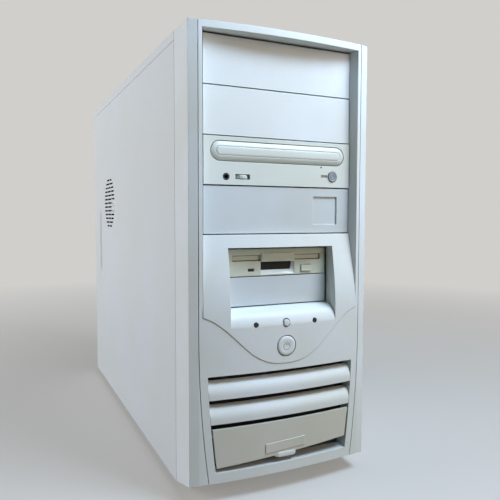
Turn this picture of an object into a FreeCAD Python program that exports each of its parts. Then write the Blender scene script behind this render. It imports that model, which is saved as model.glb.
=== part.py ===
# Desktop computer tower, built as a bench-top assembly of separate pieces.
#
# Frame: +X to the right seen from the front, +Y towards the back, +Z up.  The origin is on the floor
# under the middle of the tower.  In the helpers below a place along Y is counted from the plane of
# the bezel's side seams ("rim plane"), and a place along Z from the floor.
import FreeCAD, Part
import Sketcher
import math
import os
import re

from FreeCAD import Base

Vector = Base.Vector

doc = FreeCAD.newDocument("Tower")

# ------------------------------------------------------------------ driving dimensions (mm)

SIZES = {
    # case
    "case_width": 179.0,
    "case_height": 406.4,
    "rear_depth": 467.0,
    "foot_height": 6.0,
    "foot_radius": 9.0,
    "sheet": 0.8,
    "cover_strip": 8.6,
    "joint_gap": 0.3,
    "lip": 10.0,
    "thumb_head": 7.0,
    "thumb_radius": 6.0,
    # bezel
    "bezel_depth": 39.5,
    "bezel_wall": 2.6,
    "bow": 5.2,
    "shield_proud": 0.5,
    "cap_proud": 0.9,
    "facet_depth": 2.1,
    "seam_half": 81.4,
    "seam_gap": 0.6,
    "seam_turn": 140.0,
    "seam_turn_radius": 960.0,
    "top_drop": 1.5,
    "bottom_front": 11.8,
    "bottom_back": 0.6,
    "recess_depth": 8.4,
    "recess_half_front": 77.6,
    "recess_half_back": 74.5,
    "recess_margin": 1.0,
    # drive bays
    "bay_pitch": 42.5,
    "bay_floor": 228.0,
    "bay_gap": 0.5,
    "cover_wall": 2.4,
    "badge_side": 26.0,
    "badge_x": 48.0,
    "badge_sink": 1.2,
    # control panel
    "shield_slope": 0.164,
    "shield_break": 192.6,
    "floppy_side": 2.4,
    "floppy_over": 1.6,
    "floppy_shelf": 162.0,
    "floppy_roll": 18.0,
    "shelf_gap": 1.0,
    "floppy_face": 12.5,
    "floppy_width": 101.6,
    "floppy_height": 25.4,
    "floppy_length": 150.0,
    "floppy_sill": 189.0,
    "button_radius": 9.4,
    "button_gap": 0.35,
    "button_z": 127.6,
    "reset_z": 148.4,
    "reset_width": 6.8,
    "reset_height": 7.2,
    "led_x": 29.8,
    "led_radius": 2.3,
    # lower grille and port door
    "grille_margin": 7.2,
    "grille_top": 106.0,
    "grille_bottom": 21.0,
    "slat_one": 85.3,
    "slat_two": 63.8,
    "slat_face": 12.0,
    "slat_rise": 15.5,
    "slat_depth": 9.0,
    "door_top": 59.4,
    "door_bottom": 24.5,
    "door_wall": 2.4,
    "door_gap": 1.4,
    "hinge_y": 1.0,
    "hinge_z": 54.0,
    "hinge_radius": 1.5,
    "hinge_clear": 0.08,
    # optical drive
    "optical_half": 73.0,
    "optical_slack": 1.2,
    "optical_length": 186.0,
    "tray_half": 65.0,
    "tray_length": 146.0,
    "tray_thick": 5.0,
    "tray_drop": 15.5,
    "tray_door_half": 67.5,
    "tray_door_height": 17.0,
    "tray_door_drop": 13.0,
    "jack_x": -53.2,
    "jack_up": 7.5,
    "jack_radius": 1.8,
    "jack_length": 14.0,
    "wheel_x": -37.5,
    "wheel_up": 7.7,
    "wheel_radius": 6.5,
    "wheel_thick": 3.4,
    "optical_eject_x": 55.3,
    "optical_eject_up": 10.5,
    "optical_eject_radius": 4.9,
    "pin_aside": 12.5,
    "pin_rise": 8.3,
    "busy_gap": 0.8,
    "busy_width": 6.8,
    "busy_height": 2.4,
    "busy_rise": 0.3,
    # power supply and rear
    "psu_width": 150.0,
    "psu_height": 86.0,
    "psu_length": 140.0,
    "fan_side": 80.0,
    "fan_depth": 25.0,
    "fan_hub": 17.0,
    "fan_rim": 3.5,
    "psu_fan_x": 28.0,
    "case_fan_x": -32.0,
    "case_fan_z": 262.0,
    "inlet_x": -50.0,
    "board_x": 66.4,
    "board_thick": 1.6,
    "board_depth": 243.8,
    "board_height": 304.8,
    "board_z": 8.0,
    "tray_x": 74.0,
    "io_width": 44.0,
    "io_height": 158.0,
    "slot_pitch": 20.32,
    # side panel
    "vent_inset": 119.0,
    "vent_z": 262.0,
    "vent_radius": 36.0,
    "vent_pitch": 5.3,
    "vent_slot": 2.2,
    "pull_inset": 49.0,
    "pull_z": 200.0,
    "pull_height": 112.0,
    "pull_width": 15.0,
    "pull_sink": 7.0,
}

sheet = doc.addObject("Spreadsheet::Sheet", "Sizes")
for row, (alias, number) in enumerate(SIZES.items(), start=1):
    sheet.set(f"A{row}", alias)
    sheet.set(f"B{row}", str(number))
    sheet.setAlias(f"B{row}", alias)
doc.recompute()


def size(alias):
    """The number that the sheet holds under an alias."""
    return float(sheet.get(alias))


# places and sizes that follow from others; they may stand in any bound text
DERIVED = {
    "panel_height": "(case_height - cover_strip)",
    "fan_tip": "(fan_side/2 - fan_rim)",
    "vent_y": "(rear_depth - vent_inset)",
    "pull_y": "(rear_depth - pull_inset)",
    "third_bay": "(bay_floor + bay_pitch)",
    "optical_height": "(bay_pitch - optical_slack)",
    "floppy_top": "(floppy_sill + floppy_height + floppy_over)",
}


def bind(obj, prop, text):
    """Ties a property to the sheet; every alias in the text becomes a cell of it."""
    text = re.sub(r"[a-z_]+", lambda m: DERIVED.get(m.group(0), m.group(0)), text)
    words = re.sub(
        r"[a-z_]+[a-z0-9_]*", lambda m: "Sizes." + m.group(0) if m.group(0) in SIZES else m.group(0), text
    )
    obj.setExpression(prop, words)


bow_radius = (size("seam_half") ** 2 + size("bow") ** 2) / (2 * size("bow"))

# the whole tower is shifted so that the frame's origin is under the middle of its outer box
NOSE = "(bow + shield_proud + cap_proud)"
FRONT = f"(({NOSE} - rear_depth - thumb_head)/2)"
front_y = (
    size("bow") + size("shield_proud") + size("cap_proud") - size("rear_depth") - size("thumb_head")
) / 2
floor_z = size("foot_height")

nodes = []


def keep(obj, label):
    """Names a finished piece; the label is also its file's name."""
    obj.Label = label
    nodes.append(obj)
    return obj


def unique(name):
    """A document name that has not been used yet."""
    number = 1
    while doc.getObject(f"{name}_{number}"):
        number += 1
    return f"{name}_{number}"


# ------------------------------------------------------------------ solids bound to the sheet


def block(x, y, z, name="Block"):
    """A box between two limits on each axis; y from the rim plane, z from the floor."""
    obj = doc.addObject("Part::Box", unique(name))
    bind(obj, "Length", f"({x[1]}) - ({x[0]})")
    bind(obj, "Width", f"({y[1]}) - ({y[0]})")
    bind(obj, "Height", f"({z[1]}) - ({z[0]})")
    bind(obj, "Placement.Base.x", f"{x[0]}")
    bind(obj, "Placement.Base.y", f"{FRONT} + ({y[0]})")
    bind(obj, "Placement.Base.z", f"{z[0]}")
    return obj


TURNS = {
    "x": Base.Rotation(Vector(0, 1, 0), 90),
    "y": Base.Rotation(Vector(1, 0, 0), -90),
    "z": Base.Rotation(),
}


def rod(axis, start, length, radius, name="Rod"):
    """A cylinder that starts at a point and runs along +X, +Y or +Z."""
    obj = doc.addObject("Part::Cylinder", unique(name))
    obj.Placement = Base.Placement(Vector(), TURNS[axis])
    bind(obj, "Radius", radius)
    bind(obj, "Height", length)
    bind(obj, "Placement.Base.x", f"{start[0]}")
    bind(obj, "Placement.Base.y", f"{FRONT} + ({start[1]})")
    bind(obj, "Placement.Base.z", f"{start[2]}")
    return obj


def wire_ring(centre, radius, wire, name="Ring"):
    """A ring of round wire that faces the back."""
    obj = doc.addObject("Part::Torus", unique(name))
    obj.Placement = Base.Placement(Vector(), TURNS["y"])
    bind(obj, "Radius1", radius)
    bind(obj, "Radius2", wire)
    bind(obj, "Placement.Base.x", f"{centre[0]}")
    bind(obj, "Placement.Base.y", f"{FRONT} + ({centre[1]})")
    bind(obj, "Placement.Base.z", f"{centre[2]}")
    return obj


def join(pieces, name="Join"):
    """One object from several pieces."""
    if len(pieces) == 1:
        return pieces[0]
    obj = doc.addObject("Part::MultiFuse", unique(name))
    obj.Shapes = pieces
    return obj


def group(pieces, name="Group"):
    """Separate solids that share a node."""
    obj = doc.addObject("Part::Compound", unique(name))
    obj.Links = pieces
    return obj


def cut(base, tools, name="Cut"):
    """The base with every tool taken out of it."""
    obj = doc.addObject("Part::Cut", unique(name))
    obj.Base = base
    obj.Tool = group(tools) if len(tools) > 1 and not touching(tools) else join(tools)
    return obj


def touching(pieces):
    """Tools that overlap are fused first, and tools that stand apart are only grouped."""
    doc.recompute()
    boxes = [piece.Shape.BoundBox for piece in pieces]
    for index, first in enumerate(boxes):
        for second in boxes[index + 1:]:
            if first.intersect(second):
                return True
    return False


def shape_node(shape, label):
    """A piece whose outline is computed; it is placed like the others, from the rim plane."""
    obj = doc.addObject("Part::Feature", unique("Moulding"))
    obj.Shape = shape.removeSplitter()
    obj.Placement = Base.Placement(Vector(0, front_y, 0), Base.Rotation())
    return keep(obj, label)


# ------------------------------------------------------------------ part design helpers


def new_body(x, y, z, turn=None):
    """A PartDesign body whose own origin stands at a place in the tower."""
    body = doc.addObject("PartDesign::Body", unique("Body"))
    body.Placement = Base.Placement(Vector(), turn or Base.Rotation())
    bind(body, "Placement.Base.x", f"{x}")
    bind(body, "Placement.Base.y", f"{FRONT} + ({y})")
    bind(body, "Placement.Base.z", f"{z}")
    return body


def origin_feature(body, role):
    """A plane or an axis of the body's own origin."""
    return [item for item in body.Origin.OriginFeatures if item.Role == role][0]


def sketch(body, role, name):
    """An empty sketch on one of the body's own planes."""
    obj = body.newObject("Sketcher::SketchObject", unique(name))
    obj.AttachmentSupport = [(origin_feature(body, role), "")]
    obj.MapMode = "FlatFace"
    return obj


def limit(sk, kind, geometry, text):
    """A distance of the sketch tied to the sheet."""
    index = sk.addConstraint(Sketcher.Constraint(kind, *geometry, 1.0))
    sk.renameConstraint(index, f"limit_{index}")
    bind(sk, f"Constraints.limit_{index}", text)


def sketch_circle(sk, radius):
    """A circle on the sketch's own centre."""
    index = sk.addGeometry(Part.Circle(Vector(), Vector(0, 0, 1), 5.0))
    sk.addConstraint(Sketcher.Constraint("Coincident", index, 3, -1, 1))
    limit(sk, "Radius", (index,), radius)


def sketch_rectangle(sk, width, height):
    """A rectangle centred on the sketch's own centre."""
    corners = [Vector(-5, -5, 0), Vector(5, -5, 0), Vector(5, 5, 0), Vector(-5, 5, 0)]
    for index in range(4):
        sk.addGeometry(Part.LineSegment(corners[index], corners[(index + 1) % 4]))
    for index in range(4):
        sk.addConstraint(Sketcher.Constraint("Coincident", index, 2, (index + 1) % 4, 1))
        sk.addConstraint(Sketcher.Constraint("Horizontal" if index % 2 == 0 else "Vertical", index))
    sk.addConstraint(Sketcher.Constraint("Symmetric", 0, 1, 1, 2, -1, 1))
    limit(sk, "DistanceX", (0, 1, 0, 2), width)
    limit(sk, "DistanceY", (1, 1, 1, 2), height)


def pad(body, sk, length, backwards=False, both=False):
    """A pad of a sketch."""
    obj = body.newObject("PartDesign::Pad", unique("Pad"))
    obj.Profile = sk
    bind(obj, "Length", length)
    obj.Reversed = backwards
    obj.Midplane = both
    return obj


def rounded(body, base, edges, radius):
    """A fillet on chosen edges of a feature of the body."""
    doc.recompute()
    names = [f"Edge{i + 1}" for i, edge in enumerate(base.Shape.Edges) if edges(edge)]
    obj = body.newObject("PartDesign::Fillet", unique("Fillet"))
    obj.Base = (base, names)
    obj.Radius = radius
    body.Tip = obj
    return obj


# ------------------------------------------------------------------ outlines of the moulded front


def polygon(points):
    """A closed wire through points."""
    return Part.makePolygon(points + [points[0]])


def prism(wire, direction):
    """The solid that a flat wire sweeps along a direction."""
    return Part.Face(wire).extrude(direction)


def arc(first, middle, last):
    """An edge through three points."""
    return Part.Arc(first, middle, last).toShape()


def line(first, last):
    """A straight edge."""
    return Part.LineSegment(first, last).toShape()


def bow_at(x, inset=0.0):
    """How far the bowed front face lies from the rim plane at a distance from the middle."""
    return x * x / (2 * bow_radius) - size("bow") + inset


def front_envelope(inset, back):
    """Everything inside the bezel's outer skin, drawn in by an inset."""
    half = size("case_width") / 2 - inset
    seam = size("seam_half")
    low = -10.0
    high = size("case_height") + floor_z + 20
    left = [Vector(-half, back, low), Vector(-half, size("facet_depth") + inset, low)]
    face = [Vector(x, bow_at(x, inset), low) for x in (-seam, 0.0, seam)]
    right = [Vector(half, size("facet_depth") + inset, low), Vector(half, back, low)]
    plan = Part.Wire([line(left[0], left[1]), line(left[1], face[0]), arc(*face), line(face[2], right[0]),
                      line(right[0], right[1]), line(right[1], left[0])])
    nose = -size("bow") - 3
    side = polygon([
        Vector(-100, back, size("bottom_back") + floor_z + inset),
        Vector(-100, 0, size("bottom_front") + floor_z + inset),
        Vector(-100, nose, size("bottom_front") + floor_z + inset),
        Vector(-100, nose, size("case_height") - size("top_drop") + floor_z - inset),
        Vector(-100, 0, size("case_height") - size("top_drop") + floor_z - inset),
        Vector(-100, back, size("case_height") + floor_z - inset - (0.4 if inset == 0 else 0)),
    ])
    return prism(plan, Vector(0, 0, high - low)).common(prism(side, Vector(200, 0, 0)))


def seam_half_at(z):
    """Half the middle moulding's width at a height; it narrows along an arc near the floor."""
    drop = size("seam_turn") + floor_z - z
    if drop <= 0:
        return size("seam_half")
    radius = size("seam_turn_radius")
    return size("seam_half") - radius + math.sqrt(radius * radius - drop * drop)


def seam_region(margin, low, high, near=-30.0, far=80.0):
    """The space between the two side seams, drawn in by a margin, between two heights."""
    turn = size("seam_turn") + floor_z
    middle = (low + min(turn, high)) / 2
    right = [Vector(seam_half_at(z) - margin, near, z) for z in (low, middle, min(turn, high))]
    left = [Vector(-p.x, p.y, p.z) for p in reversed(right)]
    edges = [arc(*right)]
    if high > turn:
        top = [Vector(right[2].x, near, high), Vector(left[0].x, near, high)]
        edges += [line(right[2], top[0]), line(top[0], top[1]), line(top[1], left[0])]
    else:
        edges += [line(right[2], left[0])]
    edges += [arc(*left), line(left[2], right[0])]
    return prism(Part.Wire(edges), Vector(0, far - near, 0))


def turned(points_and_arcs):
    """A solid of revolution about the bow's upright axis, wide enough to cross the whole front."""
    centre = Vector(0, bow_radius - size("bow"), 0)
    face = Part.Face(Part.Wire(points_and_arcs))
    start = face.rotated(centre, Vector(0, 0, 1), -10)
    return start.revolve(centre, Vector(0, 0, 1), 20)


# half of the wave under the control panel: across from the middle, and up from the case's bottom
WAVE = [
    (0.0, 112.0), (16.0, 113.7), (31.0, 121.0), (46.0, 134.2), (60.0, 146.9), (70.0, 154.0),
    (78.5, 157.4)
]


def above_wave(shift, near=-30.0, far=60.0):
    """The space above the wave, moved up or down by a shift."""
    half = [Vector(x, near, z + floor_z + shift) for x, z in WAVE]
    curve = Part.BSplineCurve()
    curve.interpolate([Vector(-p.x, p.y, p.z) for p in reversed(half[1:])] + half)
    ends = [Vector(-100, near, half[-1].z), Vector(100, near, half[-1].z)]
    tops = [Vector(100, near, 500), Vector(-100, near, 500)]
    edges = [line(ends[0], Vector(-half[-1].x, near, half[-1].z)), curve.toShape(), line(half[-1], ends[1]),
             line(ends[1], tops[0]), line(tops[0], tops[1]), line(tops[1], ends[0])]
    return prism(Part.Wire(edges), Vector(0, far - near, 0))


def recess_funnel(growth, back, low, high):
    """The drafted recess that holds the drive bays, grown on every side."""
    front = size("recess_half_front") + growth
    rear = size("recess_half_back") + growth
    slope = (front - rear) / size("recess_depth")
    near = -12.0
    wide = rear + slope * (size("recess_depth") - near)
    tail = rear + slope * (size("recess_depth") - back)
    outline = [
        Vector(-wide, near, low), Vector(wide, near, low), Vector(tail, back, low),
        Vector(-tail, back, low)
    ]
    return prism(polygon(outline), Vector(0, 0, high - low))


def plate(x, y, z):
    """A plain box for the computed pieces, with y from the rim plane."""
    return Part.makeBox(x[1] - x[0], y[1] - y[0], z[1] - z[0], Vector(x[0], y[0], z[0]))


# ------------------------------------------------------------------ bezel mouldings

wall = size("bezel_wall")
back = size("bezel_depth")
seam_step = size("seam_gap") / 2
high_z = 430.0
bay_floor = size("bay_floor") + floor_z
recess_top = bay_floor + 4 * size("bay_pitch") + size("recess_margin")
shell = front_envelope(0.0, back).cut(front_envelope(wall, back + 5))


def bezel_post(side):
    """One side post: the outer flange, the slanted front facet and their turned-in ends."""
    outside = plate((min(0, side * 100), max(0, side * 100)), (-30, 60), (-20, high_z))
    return shell.common(outside).cut(seam_region(-seam_step, -20, high_z))


def front_moulding():
    """The middle moulding: bowed face, drafted recess for the bays and the lower grille's frame."""
    body = shell.common(seam_region(seam_step, -20, high_z))
    funnel_back = size("recess_depth") + wall
    collar = recess_funnel(wall, funnel_back, 100, recess_top + wall).common(above_wave(-wall))
    body = body.fuse(collar.common(front_envelope(0.0, back)))
    window = recess_funnel(0.0, funnel_back + 5, 100, recess_top).common(above_wave(0.0))
    low = size("grille_bottom") + floor_z
    high = size("grille_top") + floor_z
    margin = size("grille_margin")
    frame = seam_region(margin - wall, low - wall, high + wall, -30, 16).common(front_envelope(0.0, back))
    opening = seam_region(margin, low, high)
    bays = plate((-size("recess_half_back"), size("recess_half_back")), (size("recess_depth"), 60),
                 (bay_floor, recess_top))
    body = body.fuse(frame).cut(window).cut(opening).cut(bays)
    hinge = Part.makeCylinder(size("hinge_radius") + size("hinge_clear"), 200,
                              Vector(-100, size("hinge_y"), size("hinge_z") + floor_z), Vector(1, 0, 0))
    reach = seam_half_at(size("hinge_z") + floor_z) - margin + 1.8
    return body.cut(hinge.common(plate((-reach, reach), (-30, 60), (0, 100))))


def shield_outline(inset):
    """Side profile of the control panel: upright at its foot, then leaning back to the bays."""
    rise = size("shield_slope")
    foot = -size("bow") - size("shield_proud") + inset
    break_z = size("shield_break") + floor_z
    drop = 37.0
    lean = rise * drop / 2
    top_y = foot + lean + rise * (bay_floor - break_z)
    low = 100.0
    rear = 60.0
    middle = Vector(0, foot + lean / 4, break_z - drop / 2)
    return [
        line(Vector(0, rear, low), Vector(0, foot, low)),
        line(Vector(0, foot, low), Vector(0, foot, break_z - drop)),
        arc(Vector(0, foot, break_z - drop), middle, Vector(0, foot + lean, break_z)),
        line(Vector(0, foot + lean, break_z), Vector(0, top_y, bay_floor - size("bay_gap"))),
        line(Vector(0, top_y, bay_floor - size("bay_gap")), Vector(0, rear, bay_floor - size("bay_gap"))),
        line(Vector(0, rear, bay_floor - size("bay_gap")), Vector(0, rear, low))
    ]


# Shares of the shelf's reach and of its drop at three points of the roll, and how far each moves
# with the opening's growth; then the ways the roll starts and ends.
ROLL_PATH = ((0.5, 0.1, 0.3), (0.82, 0.34, 0.7), (0.97, 0.68, 0.9))
ROLL_START = Vector(0, -1, -0.06)
ROLL_END = Vector(0, -0.1, -1)


def floppy_window(growth, rear):
    """The opening round the floppy drive; its foot rolls over smoothly into the bowed face."""
    half = size("floppy_width") / 2 + size("floppy_side") + growth
    top = size("floppy_sill") + size("floppy_height") + size("floppy_over") + floor_z + growth
    shelf = size("floppy_shelf") + floor_z - growth
    face = size("floppy_face")
    nose = -size("bow") - size("shield_proud")
    reach = face - nose
    foot = shelf + growth * 0.6 - size("floppy_roll")
    drop = shelf - foot
    points = [Vector(0, face, shelf)]
    for out, down, grown in ROLL_PATH:
        points.append(Vector(0, face - out * reach + grown * growth, shelf - down * drop))
    points.append(Vector(0, nose - 0.3 + growth, foot))
    curve = Part.BSplineCurve()
    curve.interpolate(Points=points, InitialTangent=ROLL_START, FinalTangent=ROLL_END)
    near = nose - 10
    above = shelf + 3
    roll = turned([
        curve.toShape(), line(curve.EndPoint, Vector(0, near, foot)),
        line(Vector(0, near, foot), Vector(0, near, above)),
        line(Vector(0, near, above), Vector(0, face, above)),
        line(Vector(0, face, above), curve.StartPoint)
    ])
    opening = plate((-half, half), (-30, rear), (shelf, top))
    return opening.fuse(roll.common(plate((-half, half), (-30, 60), (0, top))))


def control_panel():
    """The shield-shaped panel under the bays."""
    gap = 0.25
    solid = turned(shield_outline(0.0))
    hollow = turned(shield_outline(wall)).cut(plate((-100, 100), (-30, 60), (bay_floor - wall, 300)))
    region = recess_funnel(-gap, size("recess_depth") + 6, 100, bay_floor).common(above_wave(gap))
    inner = recess_funnel(-gap - wall, 100, 100, bay_floor).common(above_wave(gap + wall))
    panel = solid.common(region).cut(hollow.common(inner))
    collar = floppy_window(wall, size("floppy_face") + 1.5).common(solid).common(region)
    panel = panel.fuse(collar).cut(floppy_window(0.0, 60.0))
    gap = size("button_gap")
    button = Part.makeCylinder(size("button_radius") + gap, 60, Vector(0, -20, size("button_z") + floor_z),
                               Vector(0, 1, 0))
    half_w = size("reset_width") / 2 + gap
    half_h = size("reset_height") / 2 + gap
    reset_z = size("reset_z") + floor_z
    reset = plate((-half_w, half_w), (-20, 30), (reset_z - half_h, reset_z + half_h))
    reset = reset.makeFillet(half_w * 0.9, [edge for edge in reset.Edges if abs(edge.tangentAt(0).y) > 0.9])
    lamps = [Part.makeCylinder(size("led_radius") + 0.1, 60, Vector(x, -20, reset_z), Vector(0, 1, 0))
             for x in (-size("led_x"), size("led_x"))]
    for hole in [button, reset] + lamps:
        panel = panel.cut(hole)
    return panel


# Shares of a slat's depth and rolled height at two points of its roll, and the share of its
# thickness that the inner skin drops there; then the way the crest runs.
SLAT_PATH = ((0.07, 0.62, 0.0), (0.34, 0.22, 0.6))
SLAT_END = Vector(0, 1, 0.12)


def louvre(foot):
    """One slat: an upright face that rolls back smoothly over its top."""
    thick = 2.2
    front = -size("bow")
    crest = foot + size("slat_rise")
    deep = size("slat_depth")
    rise = size("slat_face")
    skins = []
    for inset in (0.0, thick):
        points = [Vector(0, front + inset, crest - rise)]
        for back, down, under in SLAT_PATH:
            points.append(Vector(0, front + inset + back * deep, crest - down * rise - under * inset))
        points.append(Vector(0, front + deep, crest - inset))
        curve = Part.BSplineCurve()
        curve.interpolate(Points=points, InitialTangent=Vector(0, 0, 1), FinalTangent=SLAT_END)
        skins.append(curve)
    outer, inner = skins
    solid = turned([
        line(Vector(0, front, foot), outer.StartPoint), outer.toShape(),
        line(outer.EndPoint, inner.EndPoint), inner.toShape(),
        line(inner.StartPoint, Vector(0, front + thick, foot)),
        line(Vector(0, front + thick, foot), Vector(0, front, foot))
    ])
    margin = size("grille_margin") + size("joint_gap")
    return solid.common(seam_region(margin, foot - 5, crest + 5))


def port_door():
    """The flap over the front sockets, with its lip and its two hinge pins."""
    low = size("door_bottom") + floor_z
    high = size("door_top") + floor_z
    front = -size("bow")
    thick = size("door_wall")
    skin = turned([line(Vector(0, front, low), Vector(0, front, high)),
                   line(Vector(0, front, high), Vector(0, front + thick, high)),
                   line(Vector(0, front + thick, high), Vector(0, front + thick, low)),
                   line(Vector(0, front + thick, low), Vector(0, front, low))])
    margin = size("grille_margin") + size("door_gap")
    skin = skin.common(seam_region(margin, low - 5, high + 5))
    lip = plate((-10, 10), (front + 0.2, front + thick), (low - 2.0, low + 1.0))
    plaque = plate((-20, 20), (front - 0.4, front + thick - 0.5), (low + 4, low + 13))
    hinge_z = size("hinge_z") + floor_z
    reach = seam_half_at(hinge_z) - size("grille_margin")
    door = skin.fuse(lip).fuse(plaque)
    for side in (-1, 1):
        inner = side * (reach - 6)
        outer = side * (reach - size("door_gap"))
        ear = plate((min(inner, outer), max(inner, outer)), (bow_at(reach) + 1.0, size("hinge_y") + 2.2),
                    (hinge_z - 2.4, hinge_z + 2.4))
        pin_start = Vector(side * (reach - 5), size("hinge_y"), hinge_z)
        pin = Part.makeCylinder(size("hinge_radius"), 6.5, pin_start, Vector(side, 0, 0))
        door = door.fuse(ear).fuse(pin)
    return door


shape_node(bezel_post(-1), "bezel_post_left")
shape_node(bezel_post(1), "bezel_post_right")
shape_node(front_moulding(), "front_moulding")
shape_node(control_panel(), "control_panel")
louvres = [louvre(size("slat_one") + floor_z), louvre(size("slat_two") + floor_z)]
louvre_node = doc.addObject("Part::Feature", "Louvres")
louvre_node.Shape = Part.makeCompound(louvres)
louvre_node.Placement = Base.Placement(Vector(0, front_y, 0), Base.Rotation())
keep(louvre_node, "front_louvres")
shape_node(port_door(), "port_door")

# ------------------------------------------------------------------ case sheet metal

HALF = "case_width/2"
INNER = "(case_width/2 - sheet)"
SKIN_FRONT = "(bezel_depth + 2*joint_gap)"
FLOOR = "foot_height"
PAN = "(foot_height + sheet)"
ROOF = "(foot_height + case_height - sheet)"
WALL_X = "(case_width/2 - sheet - joint_gap)"
PLATE_Y = "(bezel_depth + joint_gap)"
REAR_IN = "(rear_depth - 2*sheet)"
REAR_OUT = "(rear_depth - sheet)"


def side_panel(side, label, vented):
    """A sliding side panel with its rear flange, bottom lip and pressed pull."""
    outer, inner = (f"{side}*{HALF}", f"{side}*{INNER}")
    deep = f"{side}*(case_width/2 - lip)"
    sink = f"{side}*(case_width/2 - pull_sink)"
    span = (lambda a, b: (a, b) if side > 0 else (b, a))
    top = f"{FLOOR} + panel_height"
    pull_y = ("pull_y - pull_width/2", "pull_y + pull_width/2")
    pull_z = (f"{FLOOR} + pull_z - pull_height/2", f"{FLOOR} + pull_z + pull_height/2")
    skin = block(span(inner, outer), (SKIN_FRONT, "rear_depth"), (FLOOR, top), "PanelSkin")
    flange = block(span(deep, outer), (REAR_OUT, "rear_depth"), (FLOOR, top), "PanelFlange")
    foot = block(span(deep, outer), (SKIN_FRONT, "rear_depth"), (FLOOR, f"{FLOOR} + sheet*0.9"), "PanelLip")
    dish = block(span(sink, outer), (f"{pull_y[0]} - sheet", f"{pull_y[1]} + sheet"),
                 (f"{pull_z[0]} - sheet", f"{pull_z[1]} + sheet"), "PullDish")
    hollow = block(span(f"{sink} + {side}*sheet", f"{outer} + {side}"), pull_y, pull_z, "PullHollow")
    tools = [hollow]
    if vented:
        rows = 13
        for row in range(rows):
            offset = (row - (rows - 1) / 2) * size("vent_pitch")
            half = math.sqrt(max(size("vent_radius") ** 2 - offset ** 2, 0.0))
            share = round(half / size("vent_radius"), 4)
            middle = f"{FLOOR} + vent_z + {row - (rows - 1) / 2}*vent_pitch"
            parts = 3 if share > 0.75 else 2
            for part in range(parts):
                start = f"vent_y + vent_radius*{share}*({2 * part / parts - 1:.4f}) + 1.2"
                end = f"vent_y + vent_radius*{share}*({2 * (part + 1) / parts - 1:.4f}) - 1.2"
                tools.append(block(span(f"{inner} - {side}*2", f"{outer} + {side}*2"), (start, end),
                                   (f"{middle} - vent_slot/2", f"{middle} + vent_slot/2"), "VentSlot"))
    return keep(cut(join([skin, flange, foot, dish]), tools), label)


side_panel(-1, "left_side_panel", True)
side_panel(1, "right_side_panel", False)


def thumbscrews(side, label):
    """Two knurled thumbscrews through a panel's rear flange; their heads stand behind it."""
    screws = []
    for share in (0.08, 0.92):
        place = (f"{side}*(case_width/2 - lip/2 - thumb_radius/2 - 1)", f"{FLOOR} + panel_height*{share}")
        head = rod("y", (place[0], "rear_depth", place[1]), "thumb_head", "thumb_radius", "ThumbHead")
        screws.append(head)
    return keep(group(screws), label)


thumbscrews(-1, "left_panel_thumbscrews")
thumbscrews(1, "right_panel_thumbscrews")

cover_low = f"{FLOOR} + panel_height + joint_gap"
cover_skin = block(
    (f"-{HALF}", HALF), (SKIN_FRONT, "rear_depth"), (cover_low, f"{FLOOR} + case_height"),
    "CoverBox"
)
cover_room = block((f"-{INNER}", INNER), (f"{SKIN_FRONT} - 1", "rear_depth + 1"), (f"{cover_low} - 1", ROOF),
                   "CoverRoom")
keep(cut(cover_skin, [cover_room]), "top_cover")

pan_box = block((f"-{WALL_X}", WALL_X), (PLATE_Y, REAR_OUT), (PAN, f"{PAN} + 14"), "PanBox")
pan_room = block((f"-({WALL_X} - sheet)", f"{WALL_X} - sheet"), (f"{PLATE_Y} + sheet", f"{REAR_IN}"),
                 (f"{PAN} + sheet", f"{PAN} + 20"), "PanRoom")
pan = cut(pan_box, [pan_room])
keep(pan, "chassis_base_pan")

feet = []
for side_x in (-1, 1):
    for place_y in ("bezel_depth + 38", "rear_depth - 40"):
        body = new_body(f"{side_x}*(case_width/2 - lip - 17)", place_y, "0")
        foot_sketch = sketch(body, "XY_Plane", "FootOutline")
        sketch_circle(foot_sketch, "foot_radius")
        foot_pad = pad(body, foot_sketch, PAN)
        rounded(body, foot_pad, lambda edge: edge.BoundBox.ZMax < 1.0, 1.5)
        feet.append(body)
keep(group(feet), "rubber_feet")

frame_foot = f"({PAN} + 14 + joint_gap)"
front_plate = block(
    (f"-{WALL_X}", WALL_X), (PLATE_Y, f"{PLATE_Y} + sheet"), (frame_foot, ROOF), "FrontPlate"
)
front_returns = [block(x, (PLATE_Y, f"{PLATE_Y} + 16"), (frame_foot, ROOF), "FrontReturn")
                 for x in ((f"-{WALL_X}", f"-({WALL_X} - sheet)"), (f"{WALL_X} - sheet", WALL_X))]
CAGE_IN = "(optical_half + joint_gap)"
CAGE_OUT = f"({CAGE_IN} + 2*sheet)"
CAGE_FLOOR = "(foot_height + bay_floor - 2*sheet)"
RACK_IN = "(floppy_width/2 + joint_gap)"
RACK_OUT = f"({RACK_IN} + 2*sheet)"
FLOPPY_Z = "(foot_height + floppy_sill + joint_gap)"
bay_window = block((f"-{CAGE_OUT}", CAGE_OUT), ("0", "80"), (f"{CAGE_FLOOR}", f"{ROOF} - 8"), "BayWindow")
rack_window = block(
    (f"-{RACK_OUT}", RACK_OUT), ("0", "80"), (f"{FLOOR} + 92", f"{CAGE_FLOOR} - 6"), "RackWindow"
)
intake = [block((f"-45 + {column}*24", f"-29 + {column}*24"), ("0", "80"), (f"{FLOOR} + 26 + {row}*9",
                f"{FLOOR} + 30 + {row}*9"), "IntakeSlot") for column in range(4) for row in range(6)]
keep(cut(join([front_plate] + front_returns), [bay_window, rack_window] + intake), "chassis_front_frame")

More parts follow.
